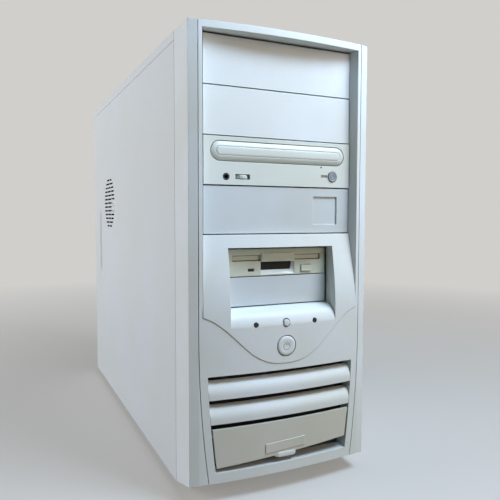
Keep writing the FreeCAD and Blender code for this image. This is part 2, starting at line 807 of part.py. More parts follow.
PSU_FLOOR = f"({ROOF} - psu_height)"
PSU_FRONT = f"({REAR_IN} - psu_length)"
SLOT_LOW = f"({FLOOR} + board_z + 14)"
IO_LOW = f"({FLOOR} + board_z + board_height - io_height - 4)"
IO_X = "(board_x + 3 - io_width)"
rear_plate = block(
    (f"-({WALL_X} - sheet)", f"{WALL_X} - sheet"), (f"{REAR_IN}", REAR_OUT), (frame_foot, ROOF),
    "RearPlate"
)
rear_returns = [block(x, ("rear_depth - 16", REAR_OUT), (frame_foot, ROOF), "RearReturn")
                for x in ((f"-{WALL_X}", f"-({WALL_X} - sheet)"), (f"{WALL_X} - sheet", WALL_X))]
psu_window = block(
    ("-(psu_width/2 - 5)", "psu_width/2 - 5"), ("400", "500"), (f"{PSU_FLOOR} + 4", f"{ROOF} - 5"),
    "PsuWindow"
)
io_window = block(
    (IO_X, f"{IO_X} + io_width"), ("400", "500"), (IO_LOW, f"{IO_LOW} + io_height"), "IoWindow"
)
slots = [block(("-32", "board_x - 10"), ("400", "500"), (f"{SLOT_LOW} + {k}*slot_pitch - 6",
               f"{SLOT_LOW} + {k}*slot_pitch + 6"), "SlotWindow") for k in range(6)]
fan_window = rod("y", ("case_fan_x", "400", f"{FLOOR} + case_fan_z"), "100", "fan_tip + 1", "FanWindow")
rear = cut(join([rear_plate] + rear_returns), [psu_window, io_window, fan_window] + slots)
keep(rear, "chassis_rear_panel")

TRAY_TOP = f"({PSU_FLOOR} - 2*joint_gap)"
tray_plate = block(("tray_x", "tray_x + sheet"), ("optical_length + 34", f"{REAR_IN}"), (f"{PAN} + sheet",
                   TRAY_TOP), "Tray")

cage = [block(x, (f"{PLATE_Y} + sheet", "optical_length + 20"), (CAGE_FLOOR, ROOF), "CageWall")
        for x in ((f"-{CAGE_OUT}", f"-{CAGE_IN}"), (CAGE_IN, CAGE_OUT))]
cage.append(block((f"-{CAGE_IN}", CAGE_IN), (f"{PLATE_Y} + sheet", "optical_length + 20"),
                  (CAGE_FLOOR, f"{CAGE_FLOOR} + sheet"), "CageFloor"))
keep(join(cage), "drive_bay_cage")

RACK_BACK = "(floppy_face + floppy_length + 30)"
RACK_LOW = f"({FLOOR} + 96)"
rack = [block(x, (f"{PLATE_Y} + sheet", RACK_BACK), (RACK_LOW, CAGE_FLOOR), "RackWall")
        for x in ((f"-{RACK_OUT}", f"-{RACK_IN}"), (RACK_IN, RACK_OUT))]
rack.append(
    block(
        (f"-{RACK_IN}", RACK_IN), (f"{PLATE_Y} + sheet", RACK_BACK), (RACK_LOW, f"{RACK_LOW} + sheet"),
        "RackFloor"
    )
)
keep(join(rack), "small_drive_cage")

# ------------------------------------------------------------------ bay covers

BAY_X = "(recess_half_back - bay_gap)"


def bay_cover(number, badge):
    """A drive bay's blank cover, boxed behind; bays are counted from the top."""
    low = f"{FLOOR} + bay_floor + {4 - number}*bay_pitch + bay_gap"
    high = f"{FLOOR} + bay_floor + {5 - number}*bay_pitch - bay_gap"
    face = block((f"-{BAY_X}", BAY_X), ("recess_depth", "recess_depth + 14"), (low, high), "CoverFace")
    room = block((f"-({BAY_X} - cover_wall)", f"{BAY_X} - cover_wall"), ("recess_depth + cover_wall", "60"),
                 (f"{low} + cover_wall", f"{high} - cover_wall"), "CoverRoom")
    tools = [room]
    if badge:
        middle = f"{low} + bay_pitch/2 - bay_gap"
        tools.append(
            block(
                ("badge_x - badge_side/2", "badge_x + badge_side/2"), ("0", "recess_depth + badge_sink"),
                (f"{middle} - badge_side/2", f"{middle} + badge_side/2"), "BadgeSeat"
            )
        )
    return cut(face, tools)


keep(group([bay_cover(number, False) for number in (1, 2)]), "plain_bay_covers")
keep(bay_cover(4, True), "badge_bay_cover")

blank_z = (f"{FLOOR} + floppy_shelf + shelf_gap", f"{FLOOR} + floppy_sill")
keep(block((f"-{RACK_IN}", RACK_IN), ("floppy_face", "floppy_face + cover_wall"), blank_z, "Blank"),
     "small_bay_cover")

# ------------------------------------------------------------------ optical drive

BAY3 = "(foot_height + bay_floor + bay_pitch)"
OPT_LOW = f"({BAY3} + 0.6)"
OPT_BACK = "(recess_depth + optical_length)"
FACE_Y = "(recess_depth - 0.8)"
CASE_Y = "(recess_depth + 4.2)"
opt_box = block(
    ("-optical_half", "optical_half"), (CASE_Y, OPT_BACK), (OPT_LOW, f"{OPT_LOW} + optical_height"),
    "OpticalBox"
)
opt_room = block(
    ("-(optical_half - sheet)", "optical_half - sheet"), (f"{CASE_Y} - 1", f"{OPT_BACK} - sheet"),
    (f"{OPT_LOW} + sheet", f"{OPT_LOW} + optical_height - sheet"), "OpticalRoom"
)
keep(cut(opt_box, [opt_room]), "optical_drive_case")

DOOR_Z = "(foot_height + third_bay + bay_pitch - tray_door_drop)"
TRAY_Z = "(foot_height + third_bay + bay_pitch - tray_drop)"
JACK_Z = "(foot_height + third_bay + jack_up)"
WHEEL_Z = "(foot_height + third_bay + wheel_up)"
EJECT_Z = "(foot_height + third_bay + optical_eject_up)"
DOOR_R = "(tray_door_height/2)"


def stadium(half, radius, y, z):
    """A long shape with round ends, seen from the front."""
    start, length = y
    bar = block((f"-({half} - {radius})", f"{half} - {radius}"), (start, f"{start} + {length}"),
                (f"{z} - {radius}", f"{z} + {radius}"), "StadiumBar")
    ends = [
        rod("y", (f"{sign}*({half} - {radius})", start, z), length, radius, "StadiumEnd")
        for sign in (-1, 1)
    ]
    return join([bar] + ends, "Stadium")


opt_face = block(
    (f"-{BAY_X}", BAY_X), (FACE_Y, CASE_Y), (f"{BAY3} + bay_gap", f"{BAY3} + bay_pitch - bay_gap"),
    "OpticalFace"
)
tray_window = stadium("(tray_door_half + 0.4)", f"({DOOR_R} + 0.4)", (f"({FACE_Y} - 1)", "20"), DOOR_Z)
jack_seat = rod("y", ("jack_x", f"{FACE_Y} - 1", f"{JACK_Z}"), "20", "jack_radius + 1.4", "JackSeat")
wheel_window = block(("wheel_x - 7", "wheel_x + 7"), ("0", "30"), (f"{WHEEL_Z} - wheel_thick/2 - 0.5",
                     f"{WHEEL_Z} + wheel_thick/2 + 0.5"), "WheelWindow")
eject_window = rod("y", ("optical_eject_x", f"{FACE_Y} - 1", f"{EJECT_Z}"), "20",
                   "optical_eject_radius + 0.3", "EjectWindow")
pin_hole = rod(
    "y", ("optical_eject_x - pin_aside", f"{FACE_Y} - 1", f"{BAY3} + optical_eject_up + pin_rise"), "20",
    "0.8", "PinHole"
)
LAMP_X = (
    "optical_eject_x - optical_eject_radius - busy_gap - busy_width",
    "optical_eject_x - optical_eject_radius - busy_gap"
)
LAMP_Z = (
    f"{BAY3} + optical_eject_up + busy_rise - busy_height/2",
    f"{BAY3} + optical_eject_up + busy_rise + busy_height/2"
)
lamp_hole = block(LAMP_X, ("0", "30"), LAMP_Z, "LampHole")
keep(cut(opt_face, [tray_window, jack_seat, wheel_window, eject_window, pin_hole, lamp_hole]),
     "optical_drive_bezel")
optical_lamp = block(
    tuple(f"{x} {side} 0.1" for x, side in zip(LAMP_X, "+-")), (f"{FACE_Y} + 0.4", f"{CASE_Y} + 6"),
    tuple(f"{z} {side} 0.1" for z, side in zip(LAMP_Z, "+-")), "BusyLamp"
)
keep(stadium("tray_door_half", DOOR_R, (f"({FACE_Y} - 0.4)", "3"), DOOR_Z), "optical_tray_door")
tray = block(("-tray_half", "tray_half"), (f"{FACE_Y} + 2.6", f"{FACE_Y} + 2.6 + tray_length"),
             (f"{TRAY_Z} - tray_thick/2", f"{TRAY_Z} + tray_thick/2"), "TrayPlate")
disc_seat = rod("z", ("0", "recess_depth + 70", f"{TRAY_Z} + tray_thick/2 - 2"), "10", "60.5", "DiscSeat")
hub_hole = rod("z", ("0", "recess_depth + 70", f"{TRAY_Z} - 20"), "40", "18", "HubHole")
keep(cut(tray, [disc_seat, hub_hole]), "optical_tray")
keep(cut(rod("y", ("jack_x", FACE_Y, f"{JACK_Z}"), "jack_length", "jack_radius + 1.3", "JackBody"),
         [
             rod("y", ("jack_x", f"{FACE_Y} - 1", f"{JACK_Z}"), "jack_length + 5", "jack_radius", "JackBore")
         ]),
     "headphone_jack")
keep(rod("z", ("wheel_x", f"{FACE_Y} - 0.8 + wheel_radius", f"{WHEEL_Z} - wheel_thick/2"), "wheel_thick",
         "wheel_radius", "VolumeWheel"), "volume_wheel")
keep(rod("y", ("optical_eject_x", f"{FACE_Y} - 1.0", f"{EJECT_Z}"), "8", "optical_eject_radius",
         "OpticalEject"), "optical_eject_button")
spindle = join([rod("z", ("0", "recess_depth + 70", f"{OPT_LOW} + sheet"), "6", "16", "SpindleMotor"),
                rod("z", ("0", "recess_depth + 70", f"{OPT_LOW} + sheet"), "11", "8", "SpindleHub")])
keep(spindle, "optical_spindle_motor")

# ------------------------------------------------------------------ floppy drive

FLOP_X = "floppy_width/2"
FLOP_TOP = "(foot_height + floppy_sill + floppy_height)"
FLOP_BODY = "(floppy_face + 3.2)"
flop_box = block((f"-{FLOP_X}", FLOP_X), (FLOP_BODY, f"{FLOP_BODY} + floppy_length"), (FLOPPY_Z, FLOP_TOP),
                 "FloppyBox")
flop_room = block((f"-({FLOP_X} - sheet)", f"{FLOP_X} - sheet"), (f"{FLOP_BODY} - 1",
                  f"{FLOP_BODY} + floppy_length - sheet"), (
                      f"{FLOPPY_Z} + sheet", f"{FLOP_TOP} - sheet"
                  ), "FloppyRoom")
keep(cut(flop_box, [flop_room]), "floppy_drive_case")
flop_face = block((f"-{FLOP_X}", FLOP_X), ("floppy_face", FLOP_BODY), (FLOPPY_Z, FLOP_TOP), "FloppyFace")
slot_low = "(foot_height + floppy_top - 12.6)"
slot_window = block(("-45.5", "45.5"), ("0", "60"), (slot_low, f"{slot_low} + 5.2"), "SlotWindow")
finger_window = block(("-17.3", "17.3"), ("0", "floppy_face + 2.4"), (f"{slot_low} - 13", f"{slot_low} + 1"),
                      "FingerDish")
flop_eject_window = block(
    ("24.0", "35.6"), ("0", "60"), (f"{slot_low} - 11.4", f"{slot_low} - 4.8"), "EjectHole"
)
flop_lamp_hole = block(("-30", "-24"), ("0", "60"), (f"{slot_low} - 9.4", f"{slot_low} - 7.0"), "LampHole")
keep(cut(flop_face, [slot_window, finger_window, flop_eject_window, flop_lamp_hole]), "floppy_drive_bezel")
keep(
    block(
        ("24.3", "35.3"), ("floppy_face - 1.6", "floppy_face + 7"),
        (f"{slot_low} - 11.1", f"{slot_low} - 5.1"), "FloppyEject"
    ),
    "floppy_eject_button"
)
floppy_lamp = block(("-29.8", "-24.2"), ("floppy_face - 0.2", "floppy_face + 8"), (f"{slot_low} - 9.2",
                    f"{slot_low} - 7.2"), "FloppyLamp")
keep(group([optical_lamp, floppy_lamp]), "drive_busy_leds")
keep(join([block(("-45", "45"), ("floppy_face + 1.6", "floppy_face + 2.4"), (f"{slot_low} + 0.3",
                 f"{slot_low} + 4.4"), "FlapPlate"),
           rod("x", ("-45.2", "floppy_face + 2.0", f"{slot_low} + 4.2"), "90.4", "0.7", "FlapPivot")]),
     "floppy_slot_flap")

hdd = block((f"-{FLOP_X}", FLOP_X), (f"{PLATE_Y} + 12", f"{PLATE_Y} + 159"), (f"{RACK_LOW} + sheet + 6",
            f"{RACK_LOW} + sheet + 32"), "HardDrive")
keep(hdd, "hard_drive")

# ------------------------------------------------------------------ front buttons, lamps and sockets


def cap(width, height, z, front, length, label):
    """A push button: a rounded cap that runs back to its switch."""
    body = new_body("0", front, z)
    outline = sketch(body, "XZ_Plane", "CapOutline")
    if height is None:
        sketch_circle(outline, width)
    else:
        sketch_rectangle(outline, width, height)
    cap_pad = pad(body, outline, length, backwards=True)
    if height is not None:
        cap_pad = rounded(body, cap_pad, lambda edge: abs(edge.tangentAt(edge.FirstParameter).y) > 0.9, 2.4)
    rounded(body, cap_pad, lambda edge: edge.BoundBox.YMax < 0.01, 0.8)
    return keep(body, label)


BOARD_Y = "(recess_depth + 16)"
CAP_NOSE = f"(-{NOSE})"
cap(
    "button_radius", None, "foot_height + button_z", CAP_NOSE, f"{BOARD_Y} - 6 - {CAP_NOSE}",
    "power_button"
)
cap("reset_width", "reset_height", "foot_height + reset_z", CAP_NOSE, f"{BOARD_Y} - 6 - {CAP_NOSE}",
    "reset_button")
switch_board = block(("-40", "40"), (BOARD_Y, f"{BOARD_Y} + board_thick"), (f"{FLOOR} + button_z - 12",
                     f"{FLOOR} + reset_z + 14"), "SwitchBoard")
switches = [
    block(
        ("-3", "3"), (f"{BOARD_Y} - 2.5", BOARD_Y), (f"{FLOOR} + {z} - 3", f"{FLOOR} + {z} + 3"), "Switch"
    ) for z in ("button_z", "reset_z")
]
keep(join([switch_board] + switches), "front_switch_board")
LAMP_FRONT = "(led_x*led_x*bow/(seam_half*seam_half + bow*bow) + 0.4 - bow - shield_proud)"
keep(group([rod("y", (f"{sign}*led_x", LAMP_FRONT, f"{FLOOR} + reset_z"), f"{BOARD_Y} - {LAMP_FRONT}",
                "led_radius", "Lamp") for sign in (-1, 1)]), "front_leds")

PORT_Y = "(hinge_y + 11)"
port_y = size("hinge_y") + 11
usb_x = (-34.0, -10.0)
usb_z = f"({FLOOR} + 37)"
socket_z = floor_z + 37
port_low = size("grille_bottom") + floor_z
port_plate = seam_region(size("grille_margin") + size("joint_gap"), port_low + size("joint_gap"),
                         size("door_top") + floor_z - 1, port_y, port_y + 2)
for x in usb_x:
    port_plate = port_plate.cut(plate((x - 6.7, x + 6.7), (0, 60), (socket_z - 2.8, socket_z + 2.8)))
for x in (16.0, 32.0):
    port_plate = port_plate.cut(
        Part.makeCylinder(3.2, 20, Vector(x, port_y - 1, socket_z), Vector(0, 1, 0))
    )
shape_node(port_plate, "front_port_plate")
usb_shells = []
for x in usb_x:
    shell_box = block((f"{x} - 6.6", f"{x} + 6.6"), (f"{PORT_Y} - 0.4", f"{PORT_Y} + 14"), (f"{usb_z} - 2.7",
                      f"{usb_z} + 2.7"), "UsbShell")
    mouth = block((f"{x} - 6.2", f"{x} + 6.2"), (f"{PORT_Y} - 1", f"{PORT_Y} + 11"), (f"{usb_z} - 2.3",
                  f"{usb_z} + 2.3"), "UsbMouth")
    tongue = block((f"{x} - 5.6", f"{x} + 5.6"), (f"{PORT_Y} + 2", f"{PORT_Y} + 12"), (f"{usb_z} + 0.2",
                   f"{usb_z} + 2.0"), "UsbTongue")
    usb_shells.append(join([cut(shell_box, [mouth]), tongue]))
audio_shells = [cut(rod("y", (f"{x}", f"{PORT_Y} - 0.6", usb_z), "13", "3.1", "AudioBody"),
                    [rod("y", (f"{x}", f"{PORT_Y} - 1", usb_z), "12", "jack_radius", "AudioBore")])
                for x in (16.0, 32.0)]
keep(group(usb_shells + audio_shells), "front_sockets")
keep(
    block(
        ("-60", "60"), (f"{PORT_Y} + 14", f"{PORT_Y} + 14 + board_thick"),
        (f"{FLOOR} + 24", f"{FLOOR} + 52"), "PortBoard"
    ),
    "front_port_board"
)

# ------------------------------------------------------------------ power supply

psu_x = ("-psu_width/2", "psu_width/2")
PSU_BACK = f"({REAR_IN})"
psu_box = block(psu_x, (PSU_FRONT, PSU_BACK), (PSU_FLOOR, ROOF), "PsuBox")
psu_room = block(
    ("-(psu_width/2 - sheet)", "psu_width/2 - sheet"), (f"{PSU_FRONT} + sheet", f"{PSU_BACK} - sheet"),
    (f"{PSU_FLOOR} + sheet", f"{ROOF} - sheet"), "PsuRoom"
)
PSU_MID = f"({PSU_FLOOR} + psu_height/2)"
psu_fan_hole = rod("y", ("psu_fan_x", "400", PSU_MID), "100", "fan_tip + 1", "PsuFanHole")
INLET_Z = f"({PSU_MID} + 24)"
SWITCH_Z = f"({PSU_MID} - 4)"
SELECT_Z = f"({PSU_MID} - 26)"
inlet_hole = block(
    ("inlet_x - 14", "inlet_x + 14"), ("400", "500"), (f"{INLET_Z} - 10.3", f"{INLET_Z} + 10.3"),
    "InletHole"
)
switch_hole = block(
    ("inlet_x - 10.6", "inlet_x + 10.6"), ("400", "500"), (f"{SWITCH_Z} - 7.6", f"{SWITCH_Z} + 7.6"),
    "SwitchHole"
)
select_hole = block(
    ("inlet_x - 8.2", "inlet_x + 8.2"), ("400", "500"), (f"{SELECT_Z} - 4.2", f"{SELECT_Z} + 4.2"),
    "SelectHole"
)
keep(cut(psu_box, [psu_room, psu_fan_hole, inlet_hole, switch_hole, select_hole]), "power_supply_case")


def fan_frame(x, y, z, label):
    """A square fan frame with a round duct and a hub carried on four struts."""
    half = "fan_side/2"
    box = block(
        (f"{x} - {half}", f"{x} + {half}"), (y, f"{y} + fan_depth"), (f"{z} - {half}", f"{z} + {half}"),
        "FanBox"
    )
    duct = rod("y", (x, f"{y} - 1", z), "fan_depth + 2", "fan_tip + 1.5", "FanDuct")
    struts = [
        block(
            (f"{x} - fan_tip - 2", f"{x} + fan_tip + 2"), (y, f"{y} + 2.4"), (f"{z} - 2", f"{z} + 2"),
            "Strut"
        ),
        block(
            (f"{x} - 2", f"{x} + 2"), (y, f"{y} + 2.4"), (f"{z} - fan_tip - 2", f"{z} + fan_tip + 2"),
            "Strut"
        )
    ]
    hub = rod("y", (x, y, z), "2.4", "fan_hub", "StatorPlate")
    shaft = rod("y", (x, f"{y} + 2", z), "14", "1.5", "FanShaft")
    return keep(join([cut(box, [duct])] + struts + [hub, shaft]), label)


def fan_rotor(x, y, z, label):
    """A fan's hub with pitched blades in a polar pattern."""
    body = new_body(x, f"{y} + 13.6", z)
    hub = sketch(body, "XZ_Plane", "HubOutline")
    sketch_circle(hub, "fan_hub - 0.6")
    pad(body, hub, "fan_depth - 5.8", both=True)
    blade = sketch(body, "YZ_Plane", "BladeOutline")
    pitch = math.radians(38)
    along = Vector(math.cos(pitch), math.sin(pitch), 0) * 8.5
    across = Vector(-math.sin(pitch), math.cos(pitch), 0) * 0.7
    corners = [along + across, across - along, Vector() - along - across, along - across]
    for index in range(4):
        blade.addGeometry(Part.LineSegment(corners[index], corners[(index + 1) % 4]))
    blade_pad = pad(body, blade, "fan_tip")
    pattern = body.newObject("PartDesign::PolarPattern", unique("Blades"))
    pattern.Originals = [blade_pad]
    pattern.Axis = (origin_feature(body, "Y_Axis"), [""])
    pattern.Angle = 360
    pattern.Occurrences = 7
    body.Tip = pattern
    doc.recompute()
    bore_sketch = sketch(body, "XZ_Plane", "BoreOutline")
    sketch_circle(bore_sketch, "1.56")
    bore = body.newObject("PartDesign::Pocket", unique("Bore"))
    bore.Profile = bore_sketch
    bore.Type = 1
    bore.Midplane = True
    body.Tip = bore
    return keep(body, label)


PSU_FAN_Y = f"({PSU_BACK} - sheet - fan_depth - 0.1)"
fan_frame("psu_fan_x", PSU_FAN_Y, PSU_MID, "psu_fan_frame")
fan_rotor("psu_fan_x", PSU_FAN_Y, PSU_MID, "psu_fan_rotor")
CASE_FAN_Y = f"({REAR_IN} - fan_depth)"
CASE_FAN_Z = f"({FLOOR} + case_fan_z)"
fan_frame("case_fan_x", CASE_FAN_Y, CASE_FAN_Z, "case_fan_frame")
fan_rotor("case_fan_x", CASE_FAN_Y, CASE_FAN_Z, "case_fan_rotor")


def fan_guard(x, y, z):
    """A wire guard of four rings on a cross of spokes."""
    rings = [wire_ring((x, y, z), f"fan_tip*{share}", "0.8") for share in (0.25, 0.5, 0.75, 1.0)]
    spokes = [rod("x", (f"{x} - fan_tip - 3", f"{y} + 0.7", z), "2*fan_tip + 6", "0.8", "Spoke"),
              rod("z", (x, f"{y} + 0.7", f"{z} - fan_tip - 3"), "2*fan_tip + 6", "0.8", "Spoke")]
    return join(rings + spokes)


keep(group([fan_guard("psu_fan_x", f"({PSU_BACK} + 0.9)", PSU_MID),
            fan_guard("case_fan_x", f"({REAR_OUT} + 0.9)", CASE_FAN_Z)]), "fan_guards")

inlet_box = block(("inlet_x - 13.8", "inlet_x + 13.8"), (f"{PSU_BACK} - 20", f"{PSU_BACK} + 1.6"),
                  (f"{INLET_Z} - 10.1", f"{INLET_Z} + 10.1"), "InletBox")
inlet_room = block(("inlet_x - 12", "inlet_x + 12"), (f"{PSU_BACK} - 16", f"{PSU_BACK} + 5"),
                   (f"{INLET_Z} - 8.2", f"{INLET_Z} + 8.2"), "InletRoom")
prongs = [block((f"inlet_x + {x} - 1", f"inlet_x + {x} + 1"), (f"{PSU_BACK} - 17", f"{PSU_BACK} - 4"),
                (
                    f"{INLET_Z} + {z} - 2", f"{INLET_Z} + {z} + 2"
                ), "Prong") for x, z in ((-7, -2), (0, 2), (7, -2))]
keep(join([cut(inlet_box, [inlet_room])] + prongs), "mains_inlet")
switch_box = block(("inlet_x - 10.4", "inlet_x + 10.4"), (f"{PSU_BACK} - 16", f"{PSU_BACK} + 1.4"),
                   (f"{SWITCH_Z} - 7.4", f"{SWITCH_Z} + 7.4"), "SwitchBox")
switch_room = block(("inlet_x - 8.2", "inlet_x + 8.2"), (f"{PSU_BACK} - 12", f"{PSU_BACK} + 5"),
                    (f"{SWITCH_Z} - 5.2", f"{SWITCH_Z} + 5.2"), "SwitchRoom")
switch_frame = cut(switch_box, [switch_room])
rocker = new_body("inlet_x", f"{PSU_BACK} - 3.4", SWITCH_Z)
rocker_outline = rocker.newObject("Sketcher::SketchObject", unique("RockerOutline"))
rocker_outline.AttachmentSupport = [(origin_feature(rocker, "XY_Plane"), "")]
rocker_outline.MapMode = "FlatFace"
rocker_points = [Vector(-6.8, 1.6, 0), Vector(0, 3.2, 0), Vector(6.8, 4.6, 0), Vector(5.8, -1.6, 0),
                 Vector(0, -4.0, 0), Vector(-5.8, -1.6, 0)]
for index in range(len(rocker_points)):
    rocker_outline.addGeometry(Part.LineSegment(rocker_points[index], rocker_points[(index + 1) % 6]))
pad(rocker, rocker_outline, "9.6", both=True)
keep(rocker, "mains_rocker")
select_box = block(("inlet_x - 8", "inlet_x + 8"), (f"{PSU_BACK} - 8", f"{PSU_BACK} + 0.4"),
                   (f"{SELECT_Z} - 4", f"{SELECT_Z} + 4"), "SelectBox")
select_room = block(("inlet_x - 6.4", "inlet_x + 6.4"), (f"{PSU_BACK} - 6", f"{PSU_BACK} + 5"),
                    (f"{SELECT_Z} - 2.6", f"{SELECT_Z} + 2.6"), "SelectRoom")
keep(group([switch_frame, cut(select_box, [select_room])]), "mains_switch_frames")
keep(block(("inlet_x - 6", "inlet_x - 0.6"), (f"{PSU_BACK} - 5.6", f"{PSU_BACK} + 0.2"),
           (f"{SELECT_Z} - 2.3", f"{SELECT_Z} + 2.3"), "SelectKnob"), "voltage_selector")

# ------------------------------------------------------------------ electronics

BOARD_BACK = f"({REAR_IN} - 1)"
BOARD_FRONT = f"({BOARD_BACK} - board_depth)"
BOARD_LOW = f"({FLOOR} + board_z)"
keep(
    block(
        ("board_x", "board_x + board_thick"), (BOARD_FRONT, BOARD_BACK),
        (BOARD_LOW, f"{BOARD_LOW} + board_height"), "Board"
    ),
    "motherboard"
)
standoffs = [rod("x", ("board_x + board_thick", f"{BOARD_FRONT} + {y}", f"{BOARD_LOW} + {z}"),
                 "tray_x - board_x - board_thick", "2.6", "Standoff") for y in (
                     12, 140, 232
                 ) for z in (10, 150, 290)]
keep(join([tray_plate] + standoffs), "motherboard_tray")
SOCKET_X = "(board_x - 9)"
sockets = [block((SOCKET_X, "board_x"), (f"{BOARD_BACK} - 130", f"{BOARD_BACK} - 45"),
                 (f"{SLOT_LOW} + {k}*slot_pitch - 4", f"{SLOT_LOW} + {k}*slot_pitch + 4"), "CardSocket")
           for k in range(6)]
keep(
    group(
        [
            block(
                ("board_x - 34", "board_x - 1"),
                (f"{BOARD_FRONT} + {20 + 12 * k}", f"{BOARD_FRONT} + {24 + 12 * k}"),
                (f"{BOARD_LOW} + 150", f"{BOARD_LOW} + 283"), "Module"
            ) for k in range(2)
        ]
    ),
    "memory_modules"
)
sockets += [
    block(
        ("board_x - 8", "board_x"),
        (f"{BOARD_FRONT} + {17 + 12 * k}", f"{BOARD_FRONT} + {19.6 + 12 * k}"),
        (f"{BOARD_LOW} + 146", f"{BOARD_LOW} + 287"), "ModuleSocket"
    ) for k in range(2)
]
CPU_Y = f"({BOARD_FRONT} + 130)"
CPU_Z = f"({BOARD_LOW} + 200)"
sink_base = block(("board_x - 12", "board_x - 4"), (f"{CPU_Y} - 32", f"{CPU_Y} + 32"), (f"{CPU_Z} - 32",
                  f"{CPU_Z} + 32"), "SinkBase")
fins = [block(("board_x - 36", "board_x - 12"), (f"{CPU_Y} - 32 + {k}*5.25", f"{CPU_Y} - 31 + {k}*5.25"),
              (f"{CPU_Z} - 32", f"{CPU_Z} + 32"), "Fin") for k in range(13)]
keep(join([sink_base] + fins), "processor_heatsink")
sockets.append(block(("board_x - 4", "board_x"), (f"{CPU_Y} - 25", f"{CPU_Y} + 25"), (f"{CPU_Z} - 25",
                     f"{CPU_Z} + 25"), "CpuSocket"))
keep(group(sockets), "board_sockets")
CARD_Z = f"({SLOT_LOW} + 5*slot_pitch)"
card_board = block(("board_x - 110", "board_x - 9"), (f"{BOARD_BACK} - 168", f"{BOARD_BACK} - 2"),
                   (f"{CARD_Z} - 0.8", f"{CARD_Z} + 0.8"), "CardBoard")
card_sink = block(("board_x - 70", "board_x - 25"), (f"{BOARD_BACK} - 110", f"{BOARD_BACK} - 60"),
                  (f"{CARD_Z} - 12", f"{CARD_Z} - 0.8"), "CardSink")
keep(join([card_board, card_sink]), "graphics_card")
keep(
    group(
        [
            block(
                ("-36", "board_x - 6"), (f"{REAR_IN} - sheet", REAR_IN),
                (f"{SLOT_LOW} + {k}*slot_pitch - 9", f"{SLOT_LOW} + {k}*slot_pitch + 9"), "SlotCover"
            ) for k in range(6)
        ]
    ),
    "expansion_slot_covers"
)

# each rear connector: low and high along Z from the shield's foot, and its reach from the board
CONNECTORS = [(6, 58, 12), (62, 94, 12), (98, 114, 15), (118, 132, 14), (134, 148, 14)]
shield_holes = []
shells = []
for low, high, reach in CONNECTORS:
    spot = (f"board_x - {reach}", "board_x")
    zs = (f"{IO_LOW} + {low}", f"{IO_LOW} + {high}")
    shield_holes.append(block((f"{spot[0]} - 0.3", f"{spot[1]} + 0.3"), ("400", "500"), (f"{zs[0]} - 0.3",
                              f"{zs[1]} + 0.3"), "IoHole"))
    can = block(spot, (f"{REAR_OUT} - 14", f"{REAR_OUT} + 0.6"), zs, "IoShell")
    can_room = block((f"{spot[0]} + 2.5", f"{spot[1]} - 2.5"), (f"{REAR_OUT} - 6", f"{REAR_OUT} + 5"),
                     (f"{zs[0]} + 3", f"{zs[1]} - 3"), "IoRoom")
    shells.append(cut(can, [can_room]))
audio = [rod("y", ("board_x - 36", f"{REAR_OUT} - 14", f"{IO_LOW} + {z}"), "14.6", "4", "AudioCan")
         for z in (70, 84, 98)]
shield_holes += [
    rod("y", ("board_x - 36", "400", f"{IO_LOW} + {z}"), "100", "4.3", "IoHole")
    for z in (70, 84, 98)
]
io_plate = block((f"{IO_X} + 0.2", f"{IO_X} + io_width - 0.2"), (f"{REAR_IN}", REAR_OUT), (f"{IO_LOW} + 0.2",
                 f"{IO_LOW} + io_height - 0.2"), "IoPlate")
keep(cut(io_plate, shield_holes), "rear_connector_shield")
keep(group(shells + audio), "rear_connectors")

# ------------------------------------------------------------------ checks and output

doc.recompute()
problems = []
for obj in doc.Objects:
    if any(word in obj.State for word in ("Invalid", "Error")):
        problems.append(f"{obj.Label}: {obj.State}")
for obj in nodes:
    if obj.Shape.isNull() or not obj.Shape.isValid() or not obj.Shape.Solids:
        problems.append(f"{obj.Label}: no valid solid")
if problems:
    raise RuntimeError("; ".join(problems))

os.makedirs("parts", exist_ok=True)
whole = Base.BoundBox()
for obj in nodes:
    obj.Shape.exportStep(os.path.join("parts", f"{obj.Label}.step"))
    whole.add(obj.Shape.BoundBox)
print(len(nodes), "nodes;", "box", [round(v, 2) for v in (whole.XMin, whole.XMax, whole.YMin, whole.YMax,
                                                           whole.ZMin, whole.ZMax)])
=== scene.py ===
# %% [markdown]
# # A desktop computer tower from around 2002
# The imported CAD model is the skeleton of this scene. It gives the true size, the joints and most of the
# shapes. Each cell below adds one finish or one finer piece, and says what it is on the real object.

import math

import bmesh
import bpy
from mathutils import Euler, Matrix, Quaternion, Vector


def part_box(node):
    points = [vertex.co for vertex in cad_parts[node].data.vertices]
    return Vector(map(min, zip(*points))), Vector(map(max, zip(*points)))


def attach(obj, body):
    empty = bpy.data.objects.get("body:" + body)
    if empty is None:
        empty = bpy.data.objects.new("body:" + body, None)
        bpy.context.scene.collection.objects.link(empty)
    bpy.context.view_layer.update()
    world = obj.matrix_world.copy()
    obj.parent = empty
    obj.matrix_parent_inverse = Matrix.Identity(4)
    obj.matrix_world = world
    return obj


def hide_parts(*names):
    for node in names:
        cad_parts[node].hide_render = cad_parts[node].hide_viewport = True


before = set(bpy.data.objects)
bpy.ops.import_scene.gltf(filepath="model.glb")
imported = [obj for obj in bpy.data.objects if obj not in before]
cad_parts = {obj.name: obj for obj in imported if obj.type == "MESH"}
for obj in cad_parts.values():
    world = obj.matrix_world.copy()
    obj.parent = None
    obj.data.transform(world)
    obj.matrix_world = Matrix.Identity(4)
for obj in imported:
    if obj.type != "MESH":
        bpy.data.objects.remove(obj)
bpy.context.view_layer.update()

# %% [markdown]
# ## Measuring from the model
# Blender works in metres, and small parts are easier to think about in millimetres. The front of the case
# is described from the plane where its side posts end, so that plane is read from the model once. The
# front bulges by a few millimetres, so a function gives how far any point stands proud.

# %% Helpers for places
MM = 0.001
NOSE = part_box("front_moulding")[0].y
RIM = NOSE + 5.2 * MM
BOW_RADIUS = 0.640


